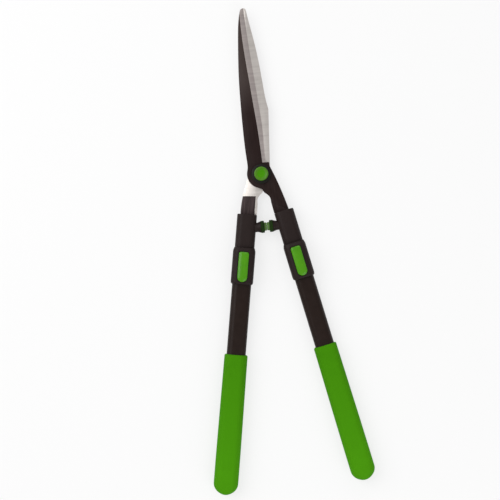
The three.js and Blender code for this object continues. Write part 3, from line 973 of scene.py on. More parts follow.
@dataclass
class Palette:
    """Every finish of the shears, mixed once."""

    # The blades' coat, with a painted sheen that lightens it towards the tips
    coat: bpy.types.Material = mixed(BlackCoat(painted_sheen=(0.0560, 0.0405, 0.0370)))
    washer: bpy.types.Material = mixed(BlackCoat(
        name="washer_coat", dark=(0.0085, 0.0085, 0.0060), light=(0.0130, 0.0130, 0.0095),
        roughness=0.42, shine=0.16,
    ))
    thin_coat: bpy.types.Material = mixed(BlackCoat(
        name="thin_black_coat", dark=(0.018, 0.010, 0.010), light=(0.071, 0.048, 0.048),
        roughness=0.42, shine=0.2, streak=(900, 25, 900), turn=LINE.angle,
    ))
    tube: bpy.types.Material = mixed(BlackCoat(
        name="tube_coat", dark=(0.0154, 0.0086, 0.0066), light=(0.0180, 0.0101, 0.0078),
        roughness=0.36, shine=0.13, peel=1500, streak=(90, 90, 90),
    ))
    ground: bpy.types.Material = mixed(GroundSteel())
    inner_face: bpy.types.Material = mixed(GroundSteel(
        name="ground_inner_face", dark=(0.655, 0.612, 0.575), light=(0.772, 0.723, 0.686), roughness=0.41,
    ))
    zinc: bpy.types.Material = mixed(BrightMetal(
        name="bright_zinc", dark=(0.50, 0.49, 0.46), light=(0.62, 0.60, 0.57), roughness=0.30,
    ))
    pin: bpy.types.Material = mixed(BrightMetal(
        name="oiled_steel", dark=(0.060, 0.055, 0.050), light=(0.085, 0.080, 0.074), roughness=0.38,
    ))
    moulded_black: bpy.types.Material = mixed(MouldedPlastic(
        name="moulded_black", dark=(0.0160, 0.0093, 0.0084), light=(0.0185, 0.0110, 0.0101),
        roughness=0.50, shine=0.16, grain=1700, grain_depth=0.00004,
    ))
    green_gloss: bpy.types.Material = mixed(MouldedPlastic(
        name="green_gloss", dark=(0.058, 0.255, 0.0010), light=(0.074, 0.300, 0.0018),
        roughness=0.20, shine=0.30, grain=900, grain_depth=0.00001,
    ))
    cap_green: bpy.types.Material = mixed(MouldedPlastic(
        name="cap_green", dark=(0.056, 0.190, 0.004), light=(0.074, 0.230, 0.007),
        roughness=0.30, shine=0.25, grain=1200, grain_depth=0.00002,
    ))
    cap_deep: bpy.types.Material = mixed(MouldedPlastic(
        name="cap_deep_green", dark=(0.048, 0.235, 0.0004), light=(0.062, 0.275, 0.0008),
        roughness=0.26, shine=0.12, grain=1200, grain_depth=0.00001,
    ))
    bumper_green: bpy.types.Material = mixed(MouldedPlastic(
        name="bumper_green", dark=(0.006, 0.022, 0.0008), light=(0.010, 0.032, 0.0014),
        roughness=0.55, shine=0.12,
    ))
    bumper_tip: bpy.types.Material = mixed(MouldedPlastic(
        name="bumper_tip_green", dark=(0.085, 0.170, 0.042), light=(0.110, 0.215, 0.056),
        roughness=0.55, shine=0.15,
    ))
    rubber: bpy.types.Material = mixed(MouldedPlastic(
        name="pad_rubber", dark=(0.012, 0.012, 0.012), light=(0.020, 0.020, 0.020),
        roughness=0.75, shine=0.3,
    ))
    skin: bpy.types.Material = mixed(SoftSkin())

    def aluminium(self, side: Side) -> bpy.types.Material:
        """Drawn aluminium with its lines along one handle.

        Args:
            side: The handle.

        Returns:
            The material.
        """
        return BrightMetal(
            name=f"drawn_aluminium_{side.name.lower()}", dark=(0.56, 0.56, 0.57), light=(0.68, 0.68, 0.69),
            roughness=0.32, turn=-side.value * LINE.angle, lines=(1500, 30, 1500),
        ).mix()


@dataclass
class Blade:
    """A ground blade with its head and tang, lying on its inner face."""

    hand: Handedness
    length: float = 250
    thickness: float = 3.5
    gap: float = 0.3
    spine_reach: float = 20.1
    edge_reach: float = 8.8
    tip_half_width: float = 3.6
    bevel_width: float = 8.1
    bevel_rise: float = 0.995
    bevel_lean: float = 0.05
    edge_thickness: float = 0.5
    tip_thinning: float = 1.3
    heel_level: float = 16.4
    heel_run_out: float = 12
    heel_grind: float = 0.35
    shoulder_reach: float = 13.6
    shoulder_round: float = 1.4
    shoulder_drop: float = 6
    head_radius: float = 21.3
    back_corner: Point = (21.3, 95.5)
    back_head_reach: float = 13.4
    bush_radius: float = 6.3
    front_reach: Point = (8, 58.7)
    front_bend: Point = (5.9, 20.4)
    back_reach: Point = (10.2, 58.7)
    back_bend: Point = (11.2, 29.6)
    tang_inner: float = 14.7
    tang_end: float = 58.95
    tail_width: float = 17
    tail_end: float = 117
    tail_chamfer: float = 2.5
    coat_line: Point = (22, -31.1)
    coat_tilt: float = math.radians(6.25)
    coat_rim: float = 1.0
    coat_end: float = -57
    bare_strip: float = 4
    screws: Sequence[float] = (77, 99)
    screw_hole: float = 2.3
    rounding: float = 0.22
    rounding_angle: float = 55
    grinder_stations: int = 72
    grinder_over: float = 1
    grinder_roof: float = 3
    line_steps: int = 6
    edge_steps: int = 8
    head_steps: int = 30
    bow_steps: int = 10
    corner_steps: int = 6
    tang_steps: int = 12
    tip_steps: int = 8

    # Shares of the edge's reach and of the blade's length
    edge_table: Sequence[Point] = (
        (0.9, 0.0656), (0.985, 0.19), (1, 0.31), (0.7, 0.5), (0.37, 0.688), (0.13, 0.86), (0, 0.965),
    )

    # Shares of the bevel's width and of the blade's length
    bevel_table: Sequence[Point] = (
        (0.53, 0.0656), (0.7, 0.17), (0.95, 0.34), (1, 0.6), (1, 0.8), (0.85, 0.94), (0.7, 1),
    )

    # Shares of the spine's reach, or the back corner's, and of the blade's length
    front_spine: Sequence[Point] = (
        (0.947, 0.06), (0.99, 0.15), (1, 0.26), (0.97, 0.41), (0.89, 0.58),
        (0.742, 0.728), (0.555, 0.872), (0.4, 0.945), (0.27, 0.985),
    )
    back_spine: Sequence[Point] = (
        (0.873, 0.45), (0.785, 0.55), (0.704, 0.648), (0.612, 0.728), (0.502, 0.8),
        (0.38, 0.87), (0.25, 0.94), (0.19, 0.98),
    )

    # Shares of the head's radius
    crotch: Sequence[Point] = (
        (0.48, -2.07), (0.462, -1.81), (0.4, -1.64), (0.285, -1.5), (0.16, -1.39), (0.05, -1.3),
    )
    notch: Sequence[Point] = ((-0.03, -1.1), (-0.23, -0.974))
    waist: Point = (-0.955, 0.3)

    # The two tables as smooth lines, in millimetres
    edge_line: list[Point] = field(init=False)
    bevel_line: list[Point] = field(init=False)

    def __post_init__(self) -> None:
        """Draws the edge and the bevel's width as smooth tables over the level."""
        edge = [(x * self.edge_reach, y * self.length) for x, y in self.edge_table]
        bevel = [(x * self.bevel_width, y * self.length) for x, y in self.bevel_table]
        self.edge_line = follow(edge, self.edge_steps)
        self.bevel_line = follow(bevel, self.edge_steps)

    def thickness_at(self, level: float) -> float:
        """Thickness, even past the heel's grind and thinning to the tip."""
        start = self.heel_level + self.heel_run_out
        return self.thickness - self.tip_thinning * (level - start) / (self.length - start)

    def on_head(self, table: Sequence[Point]) -> list[Point]:
        """Points of a table of shares of the head's radius."""
        return [(x * self.head_radius, y * self.head_radius) for x, y in table]

    def spine(self) -> list[Point]:
        """Head and spine up to the tip.

        Returns:
            The outline's points, from the notch on.
        """
        notch = self.notch[-1]
        if self.hand is Handedness.FRONT:
            start = math.atan2(notch[1], notch[0])
            end = math.atan2(self.waist[1], self.waist[0]) - FULL_TURN
            arc = [start + (end - start) * step / self.head_steps for step in range(1, self.head_steps + 1)]
            head = self.on_head([(math.cos(angle), math.sin(angle)) for angle in arc])
            line = [(-x * self.spine_reach, y * self.length) for x, y in self.front_spine]
            return [*head, *follow([head[-1], *line], self.line_steps)[1:]]
        low = self.on_head([notch])[0]
        head = bow(low, (-self.back_head_reach, low[1]), (-self.back_head_reach, 0), self.bow_steps)
        corner = (-self.back_corner[0], self.back_corner[1])
        line = [(-x * self.back_corner[0], y * self.length) for x, y in self.back_spine]
        return [*head, *follow([corner, *line], self.line_steps)]

    def tang(self) -> list[Point]:
        """Shoulder, tang, tail and crotch.

        Returns:
            The outline's points, from the heel to the notch.
        """
        heel = (self.shoulder_reach - self.shoulder_round, self.heel_level)
        corner = (self.shoulder_reach, self.heel_level)
        shoulder = (self.shoulder_reach, self.heel_level - self.shoulder_round)
        low = (self.shoulder_reach + self.gap, self.heel_level - self.shoulder_drop)
        bend, reach = self.back_bend, self.back_reach
        if self.hand is Handedness.FRONT:
            bend, reach = self.front_bend, self.front_reach
        half = self.tail_width / 2
        tail = [
            (reach[0], self.tang_end),
            (half, self.tang_end),
            (half, self.tail_end - self.tail_chamfer),
            (half - self.tail_chamfer, self.tail_end),
            (self.tail_chamfer - half, self.tail_end),
            (-half, self.tail_end - self.tail_chamfer),
            (-half, self.tang_end),
            (-self.tang_inner, self.tang_end),
        ]
        return [
            heel,
            *bow(heel, corner, shoulder, self.corner_steps),
            low,
            *bow(low, LINE.point(*bend), LINE.point(*reach), self.tang_steps),
            *[LINE.point(aside, down) for aside, down in tail],
            *follow(self.on_head(self.crotch), self.line_steps),
            *self.on_head(self.notch),
        ]

    def outline(self) -> list[Point]:
        """The whole outline.

        Returns:
            Its points, from the heel round the tang, the head, the spine and the edge.
        """
        spine = self.spine()
        tip = bow(spine[-1], (-self.tip_half_width, self.length), (0, self.length), self.tip_steps)
        return [self.edge_line[0], *self.tang(), *spine, *tip, *reversed(self.edge_line[1:])]

    def grinder(self) -> bpy.types.Object:
        """Body that takes the bevel off the outer face along the edge.

        Returns:
            The tool body.
        """
        rings = []
        run = self.length - self.heel_level + self.grinder_over
        roof = self.thickness + self.grinder_roof
        for station in range(self.grinder_stations + 1):
            level = self.heel_level + self.gap + run * station / self.grinder_stations
            edge = share_at(self.edge_line, level)
            width = share_at(self.bevel_line, level)
            surface = self.thickness_at(level)
            rise = min(1, (level - self.heel_level) / self.heel_run_out)
            depth = (surface - self.edge_thickness) * (self.heel_grind + (1 - self.heel_grind) * rise)
            slope = depth / width
            near = edge - width - self.grinder_over
            far = edge + self.bevel_width
            rings.append([
                (near, level, surface + slope),
                (edge + self.grinder_over, level, surface - depth - slope),
                (far, level, surface - depth - slope),
                (far, level, roof),
                (near, level, roof),
            ])
        return loft("grinder", rings)

    def thinner(self) -> bpy.types.Object:
        """Body that thins the blade towards the tip.

        Returns:
            The tool body.
        """
        reach = self.back_corner[0] + OVER
        roof = self.thickness + OVER
        rings = []
        for level in (self.heel_level + self.heel_run_out / 2, self.length + OVER):
            floor = self.thickness_at(level)
            rings.append([
                (-reach, level, floor), (reach, level, floor), (reach, level, roof), (-reach, level, roof),
            ])
        return loft("thinner", rings)

    def aside(self, place: Vector) -> float:
        """Distance of a place from the handle's axis, outwards."""
        return (place.x - LINE.spread) * math.cos(LINE.angle) + place.y * math.sin(LINE.angle)

    def on_bevel(self, middle: Vector, normal: Vector) -> bool:
        """Whether a face belongs to the ground bevel or its edge.

        Args:
            middle: The face's middle.
            normal: Its normal.

        Returns:
            True if it does.
        """
        edge = share_at(self.edge_line, middle.y)
        width = share_at(self.bevel_line, middle.y)
        inside = middle.y > self.heel_level + self.gap / 2 and middle.x > edge - width - NEAR
        return inside and normal.z < self.bevel_rise and normal.x > self.bevel_lean

    def on_inner_face(self, middle: Vector, normal: Vector) -> bool:
        """Whether a face belongs to the inner face, down to where the housing hides it."""
        return normal.z < -FACING and middle.z < NEAR and middle.y > self.coat_end

    def on_bare_face(self, middle: Vector, normal: Vector) -> bool:
        """Whether a face belongs to the part of the inner face that is left bright."""
        strip = self.aside(middle) < self.bare_strip - self.tang_inner
        return self.on_inner_face(middle, normal) and (self.past_coat(middle) > 0 or strip)

    def on_thin_coat(self, middle: Vector, normal: Vector) -> bool:
        """Whether a face belongs to the coated part of the inner face, below its dark rim."""
        below = self.past_coat(middle) < -self.coat_rim and self.on_inner_face(middle, normal)
        return below and not self.on_bare_face(middle, normal)

    def past_coat(self, middle: Vector) -> float:
        """Distance of a place above the line where the coat of the inner face begins."""
        x, y = self.coat_line
        return (middle.y - y) * math.cos(self.coat_tilt) - (middle.x - x) * math.sin(self.coat_tilt)

    def score_inner_face(self, piece: bpy.types.Object) -> None:
        """Splits the inner face where the coat, the coat's rim and the bare strip begin.

        Args:
            piece: The blade.
        """
        slope = Vector((-math.sin(self.coat_tilt), math.cos(self.coat_tilt), 0))
        coat = Vector((*self.coat_line, 0))
        strip = Vector((*LINE.point(self.bare_strip - self.tang_inner, 0), 0))
        way = Vector((math.cos(LINE.angle), math.sin(LINE.angle), 0))
        with edit(piece):
            select_faces(piece, lambda middle, normal: normal.z < -FACING)
            bpy.ops.mesh.bisect(plane_co=coat, plane_no=slope)
            for place, facing in ((coat - self.coat_rim * slope, slope), (strip, way)):
                select_faces(piece, lambda middle, normal: normal.z < -FACING and self.past_coat(middle) < 0)
                bpy.ops.mesh.bisect(plane_co=place, plane_no=facing)

    def model(self) -> bpy.types.Object:
        """Cuts the plate, grinds it, drills it and scores its inner face.

        Returns:
            The blade, lying on its inner face.
        """
        piece = plate(f"{self.hand.value}_blade_ground", self.outline(), 0, self.thickness)
        work(piece, self.grinder())
        work(piece, self.thinner())
        drill(piece, self.bush_radius, (0, 0), -OVER, self.thickness + OVER)
        for down in self.screws:
            drill(piece, self.screw_hole, LINE.point(0, down), -OVER, self.thickness + OVER, HOLE_SIDES)
        self.score_inner_face(piece)
        return piece

    def build(self, palette: Palette) -> None:
        """Models, dresses and settles the blade.

        Args:
            palette: The finishes.
        """
        piece = self.model()
        soften(piece, self.rounding, angle=self.rounding_angle)
        dress(piece, palette.coat)
        dress(piece, palette.ground, self.on_bevel)
        dress(piece, palette.inner_face, self.on_bare_face)
        dress(piece, palette.thin_coat, self.on_thin_coat)
        side = Side.RIGHT
        place = Matrix.Translation((0, 0, LINE.height + self.gap / 2))
        if self.hand is Handedness.BACK:
            side = Side.LEFT
            place = Matrix.Translation((0, 0, LINE.height - self.gap / 2)) @ Matrix.Rotation(math.pi, 4, "Y")
        settle(piece, place, side.body(Body.HALF), f"{self.hand.value}_blade")


@dataclass
class PivotStack:
    """Cap, washers and the cap over the nut; heights are from the plane between the blades."""

    face: float = 3.95
    washer_thickness: float = 1.6
    gap: float = 0.3
    head_radius: float = 7.0
    head_height: float = 4.6
    front_washer_radius: float = 14.6
    back_washer_radius: float = 12
    cap_radius: float = 10.45
    cap_wall: float = 1.6
    cap_dish: float = 0.9
    cap_round: float = 1.5
    cap_chamfer: float = 0.35
    cap_middle: float = 6.2
    back_cap_radius: float = 12
    back_cap_chamfer: float = 0.3
    nut_radius: float = 7.5
    bolt_radius: float = 4.0
    shank_end: float = -11.35
    washer_round: float = 0.5
    washer_corner: float = 0.3
    rim_steps: int = 8
    facets: int = 72

    # How far out from the dish's rim, or the middle's, and how far below the cap's top
    dish_steps: Sequence[Point] = ((0.75, 0.05), (0.35, 0.32), (0, 0.38), (-0.5, 0.42))
    middle_steps: Sequence[Point] = ((0.1, 0.55), (-0.2, 0.65))

    # Shares of the dish's radius, and how far below the cap's top
    bowl_shares: Sequence[Point] = ((0.5, 0.8), (0.2, 0.89))

    # Radius and depth of the ring cut into the back cap
    groove: Sequence[Point] = ((6.4, 0), (6.0, 0.35), (5.2, 0.35), (4.8, 0))

    def cap(self) -> bpy.types.Object:
        """Green cap with a shallow dish and a fine ring round it.

        Returns:
            The cap, standing on its axis.
        """
        seat = self.face + self.washer_thickness + self.gap
        roof = seat + self.head_height + self.gap
        top = roof + self.cap_wall + self.cap_dish
        bore = self.head_radius + self.gap
        dish = self.cap_radius - 2 * self.cap_round
        profile = [
            (0, roof),
            (bore, roof),
            (bore, seat),
            (self.cap_radius - self.cap_chamfer, seat),
            (self.cap_radius, seat + self.cap_chamfer),
        ]
        profile += upper_edge(self.cap_radius, top, self.cap_round, self.rim_steps)
        profile += [(dish + out, top - drop) for out, drop in self.dish_steps]
        profile += [(self.cap_middle + out, top - drop) for out, drop in self.middle_steps]
        profile += [(dish * share, top - drop) for share, drop in self.bowl_shares]
        return turn("green_pivot_cap", [*profile, (0, top - self.cap_dish)], self.facets)

    def on_cap_middle(self, middle: Vector, normal: Vector) -> bool:
        """Whether a face belongs to the glossy middle of the cap's dish."""
        return normal.z > 0.5 and math.hypot(middle.x, middle.y) < self.cap_middle

    def back_cap(self) -> bpy.types.Object:
        """Black cap over the nut, on which the shears lie.

        Returns:
            The cap, standing on its axis.
        """
        seat = -(self.face + self.washer_thickness + self.gap)
        roof = self.shank_end - self.gap
        floor = -LINE.height
        bore = self.nut_radius + self.gap
        profile = [
            (0, roof),
            (bore, roof),
            (bore, seat),
            (self.back_cap_radius - self.back_cap_chamfer, seat),
            (self.back_cap_radius, seat - self.back_cap_chamfer),
        ]
        for s, c in arc_shares(self.rim_steps):
            reach = self.back_cap_radius - self.cap_round * (1 - c)
            profile.append((reach, floor + self.cap_round * (1 - s)))
        profile += [(radius, floor + depth) for radius, depth in self.groove]
        return turn("nut_cap_black", [*profile, (0, floor)], self.facets)

    def washer(self, name: str, radius: float, low: float, high: float) -> bpy.types.Object:
        """Flat washer with rounded edges.

        Args:
            name: Name of the piece.
            radius: Its radius.
            low: Height of its lower face.
            high: Height of its upper face.

        Returns:
            The washer.
        """
        bore = self.bolt_radius + self.gap
        edge = self.washer_round
        corner = edge * self.washer_corner
        profile = [
            (bore, low),
            (radius - edge, low),
            (radius - corner, low + corner),
            (radius, low + edge),
            (radius, high - edge),
            (radius - corner, high - corner),
            (radius - edge, high),
            (bore, high),
            (bore, low),
        ]
        return turn(name, profile, self.facets)

    def build(self, palette: Palette) -> None:
        """Models, dresses and settles the stack.

        Args:
            palette: The finishes.
        """
        place = Matrix.Translation((0, 0, LINE.height))
        top = self.face + self.washer_thickness
        half = Side.LEFT.body(Body.HALF)
        front = self.washer("front_washer_black", self.front_washer_radius, self.face, top)
        back = self.washer("back_washer_zinc", self.back_washer_radius, -top, -self.face)
        for piece, material, slot, node in (
            (self.cap(), palette.cap_green, "green_plastic", "front_pivot_cap"),
            (self.back_cap(), palette.moulded_black, "black_plastic", "back_pivot_cap"),
            (front, palette.washer, "coated_steel", "front_washer"),
            (back, palette.zinc, "bright_steel", "back_washer"),
        ):
            dress(piece, material)
            if node == "front_pivot_cap":
                dress(piece, palette.cap_deep, self.on_cap_middle)
            settle(piece, place, half, node)


# Handles: every piece is modelled once on the right handle's axis and copied to the left


def settle_pair(
    piece: bpy.types.Object,
    name: str,
    node: str,
    body: Body,
    material: Callable[[Side], bpy.types.Material] | None = None,
) -> dict[Side, bpy.types.Object]:
    """Copies a bench piece to both handles and settles the copies.

    Args:
        piece: The piece on the handle's own axis, with its materials; it is thrown away.
        name: Name that the copies get after their side.
        node: The frame's node, without its side, that it stands for.
        body: The body that it rides on.
        material: Mixes the material for a side, where the sides differ.

    Returns:
        The settled copy of each side.
    """
    copies = {}
    for side in Side:
        twin = copy_piece(piece, side.node(name))
        if material is not None:
            dress(twin, material(side))
        copies[side] = settle(twin, LINE.bench(side), side.body(body), side.node(node))
    bpy.data.objects.remove(piece)
    return copies


@dataclass(frozen=True)
class Screw:
    """Screw with a cross recess, its domed head down; the recess is in shares of the head."""

    radius: float
    head_radius: float
    head_height: float
    low: float
    tip: float
    dome: float = 0.5
    recess_reach: float = 1.1
    recess_width: float = 0.28
    dome_steps: int = 6
    facets: int = 32

    def model(self, name: str, down: float) -> bpy.types.Object:
        """Turns the screw and cuts its recess.

        Args:
            name: Name of the piece.
            down: How far down the handle it stands.

        Returns:
            The screw.
        """
        shoulder = self.low + self.head_height
        dome = self.head_height * self.dome
        profile = [(self.head_radius * s, self.low + dome * (1 - c)) for s, c in arc_shares(self.dome_steps)]
        profile += [
            (self.head_radius, shoulder),
            (self.radius, shoulder),
            (self.radius, self.tip - self.radius / 2),
            (self.radius / 2, self.tip),
            (0, self.tip),
        ]
        piece = turn(name, profile, self.facets)
        reach = self.head_radius * self.recess_reach
        width = self.head_radius * self.recess_width
        depth = self.head_height * self.recess_reach
        for size in ((reach, width, depth), (width, reach, depth)):
            work(piece, block("driver", (0, 0, self.low), size))
        piece.data.transform(Matrix.Translation((0, -down, 0)))
        return piece


@dataclass
class Ferrule:
    """Moulded housing with its stub, the rubber bumper and the two tang screws."""

    start: float = 59
    length: float = 50.2
    width: float = 29.6
    thickness: float = 21
    round: float = 9.4
    upper_round: float = 1.6
    upper_steps: int = 6
    lower_round: float = 0.2
    lower_steps: int = 3
    roof: float = 10
    slot_end: float = 11
    stub_level: float = 79
    stub_reach: float = 9
    stub_radius: float = 7
    stub_flare: float = 1.7
    stub_curve: float = 1.4
    stub_lip: float = 0.3
    stub_root: float = 7
    peg_radius: float = 3.4
    peg_length: float = 7
    flange_radius: float = 9.1
    flange_start: float = 3.8
    tip_radius: float = 6.2
    rubber_round: float = 1.1
    rubber_steps: int = 5
    back_round: float = 0.35
    back_steps: int = 4
    seam: float = 0.05
    gap: float = 0.3
    tube: Point = (25.4, 14.6)
    tail_width: float = 17
    blade: float = 3.5
    screws: Sequence[float] = (77, 99)
    screw: Screw = Screw(radius=2, head_radius=3.5, head_height=2.0, low=-11.6, tip=4.1)
    screw_floor: float = -9.3
    rounding: float = 0.25
    rounding_angle: float = 55
    facets: int = 64

    # How far out from the tip, and how far before the flange
    root_steps: Sequence[Point] = ((0, 0.8), (0.25, 0.25), (0.8, 0))

    # Where rings lie, in shares of the body's length and of the stub's flare
    body_rings: Sequence[float] = (0.2, 0.4, 0.6, 0.8)
    stub_rings: Sequence[float] = (0, 0.1, 0.2, 0.35, 0.5, 0.7, 0.85, 1)

    def ring(self, inset: float, down: float) -> list[Place]:
        """Ring of the body, drawn in by an inset."""
        box = round_box(self.width - 2 * inset, self.thickness - 2 * inset, self.round - inset)
        return across(box, down)

    def body(self) -> bpy.types.Object:
        """Body with a rounded upper end and a finely rounded lower end.

        Returns:
            The body, still without its stub and its hollows.
        """
        end = self.start + self.length
        wide, fine = self.upper_round, self.lower_round
        arc = arc_shares(self.upper_steps)
        upper = [self.ring(wide * (1 - s), self.start + wide * (1 - c)) for s, c in arc]
        arc = arc_shares(self.lower_steps)
        lower = [self.ring(fine * (1 - c), end - fine * (1 - s)) for s, c in arc]
        middle = [self.ring(0, self.start + self.length * share) for share in self.body_rings]
        return loft("ferrule", [*upper, *middle, *lower])

    def stub(self) -> bpy.types.Object:
        """Stub that carries the bumper, its mouth flared to the rubber's flange.

        Returns:
            The stub, in its place on the handle.
        """
        wall = LINE.spread + self.stub_level * math.tan(LINE.angle) - self.width / 2
        run = wall - self.stub_flare - self.stub_reach - self.stub_lip
        mouth = self.stub_radius + self.stub_flare
        flare = [
            (
                self.stub_radius + self.stub_flare * (1 - share) ** self.stub_curve,
                self.stub_reach + self.stub_lip + run * share,
            )
            for share in self.stub_rings
        ]
        profile = [
            (0, self.stub_reach),
            (mouth - self.stub_lip, self.stub_reach),
            *flare,
            (self.stub_radius, wall + self.stub_root),
            (0, wall + self.stub_root),
        ]
        piece = turn("stub", profile, self.facets)
        piece.data.transform(LINE.towards_centre(self.stub_level))
        return piece

    def housing(self) -> bpy.types.Object:
        """Body with its stub and its hollows, but without the slot for the tang's tail.

        Returns:
            The housing.
        """
        piece = self.body()
        work(piece, self.stub(), Cut.ADD)
        peg_end = self.stub_reach + self.peg_length + self.gap
        peg = rod("bore", self.peg_radius + self.gap, (0, 0, self.stub_reach - OVER), (0, 0, peg_end))
        peg.data.transform(LINE.towards_centre(self.stub_level))
        work(piece, peg)
        width, height = (size + 2 * self.gap for size in self.tube)
        oval = round_box(width, height, height / 2)
        end = self.start + self.length
        work(piece, loft("pocket", [across(oval, self.start + self.roof), across(oval, end + OVER)]))
        for down in self.screws:
            drill(piece, self.screw.head_radius + self.gap, (0, -down), -self.thickness, self.screw_floor)
            drill(piece, self.screw.radius + self.gap, (0, -down), -self.thickness, 0, HOLE_SIDES)
        return piece

    def bumper(self) -> bpy.types.Object:
        """Rubber bumper: tip, flange and the peg in the stub.

        Returns:
            The bumper, standing on its tip.
        """
        end = self.stub_reach - self.seam
        peg_end = self.stub_reach + self.peg_length
        tip = lower_edge(self.tip_radius, self.gap / 2, self.rubber_round, self.rubber_steps)
        root = [(self.tip_radius + out, self.flange_start - drop) for out, drop in self.root_steps]
        near = lower_edge(self.flange_radius, self.flange_start, self.rubber_round, self.rubber_steps)
        far = upper_edge(self.flange_radius, end, self.back_round, self.back_steps)
        peg = [(self.peg_radius, end), (self.peg_radius, peg_end), (0, peg_end)]
        return turn("bumper", [(0, self.gap / 2), *tip, *root, *near, *far, *peg], self.facets)

    def on_tip(self, middle: Vector, normal: Vector) -> bool:
        """Whether a face belongs to the bumper's tip."""
        return middle.z < self.flange_start - NEAR

    def build(self, palette: Palette) -> None:
        """Models, dresses and settles the ferrules with their bumpers and screws.

        Args:
            palette: The finishes.
        """
        housing = self.housing()
        slot = (self.tail_width + 2 * self.gap, 2 * self.slot_end, self.blade + 2 * self.gap)
        for side in Side:
            piece = copy_piece(housing, side.node("ferrule"))
            middle = side.value * (self.gap + self.blade) / 2
            work(piece, block("slot", (0, -self.start, middle), slot))
            soften(piece, self.rounding, angle=self.rounding_angle)
            dress(piece, palette.moulded_black)
            settle(piece, LINE.bench(side), side.body(Body.HALF), side.node("housing"))
        bpy.data.objects.remove(housing)

        bumper = self.bumper()
        dress(bumper, palette.bumper_green)
        dress(bumper, palette.bumper_tip, self.on_tip)
        bumper.data.transform(LINE.towards_centre(self.stub_level))
        settle_pair(bumper, "rubber_bumper", "bumper", Body.HALF)

        for name, down in zip(("upper_tang_screw", "lower_tang_screw"), self.screws):
            piece = self.screw.model(name, down)
            dress(piece, palette.zinc)
            settle_pair(piece, f"{name}_zinc", name, Body.HALF)


@dataclass
class Telescope:
    """Inner tube in the ferrule and the oval outer tube that slides on it."""

    inner: Point = (25.4, 14.6)
    inner_wall: float = 1.2
    inner_run: Point = (69.3, 409.5)
    outer: Point = (28.8, 18.0)
    outer_wall: float = 1.4
    outer_run: Point = (129.5, 466.4)
    chamfer: float = 0.2
    corner_steps: int = 16

    def tube(self, name: str, size: Point, wall: float, run: Point) -> bpy.types.Object:
        """Oval tube, its two ends inset by the wall and bridged.

        Args:
            name: Name of the piece.
            size: Its width and height.
            wall: Its wall's thickness.
            run: How far down the handle it starts and ends.

        Returns:
            The tube.
        """
        width, height = size
        start, end = run
        edge = self.chamfer
        places = ((edge, start), (0, start + edge), (0, (start + end) / 2), (0, end - edge), (edge, end))
        rings = []
        for inset, down in places:
            oval = round_box(width - 2 * inset, height - 2 * inset, height / 2 - inset, self.corner_steps)
            rings.append(across(oval, down))
        piece = loft(name, rings)
        with edit(piece):
            select_faces(piece, lambda middle, normal: abs(normal.y) > FACING)
            bpy.ops.mesh.inset(thickness=wall - edge, use_individual=True)
            bpy.ops.mesh.bridge_edge_loops()
            bpy.ops.mesh.select_all(action="SELECT")
            bpy.ops.mesh.normals_make_consistent(inside=False)
        return piece

    def build(self, palette: Palette) -> None:
        """Models, dresses and settles the tubes.

        Args:
            palette: The finishes.
        """
        outer = self.tube("outer", self.outer, self.outer_wall, self.outer_run)
        dress(outer, palette.tube)
        settle_pair(outer, "oval_tube", "outer_tube", Body.TELESCOPE)
        inner = self.tube("inner", self.inner, self.inner_wall, self.inner_run)
        settle_pair(inner, "drawn_tube", "inner_tube", Body.HALF, palette.aluminium)


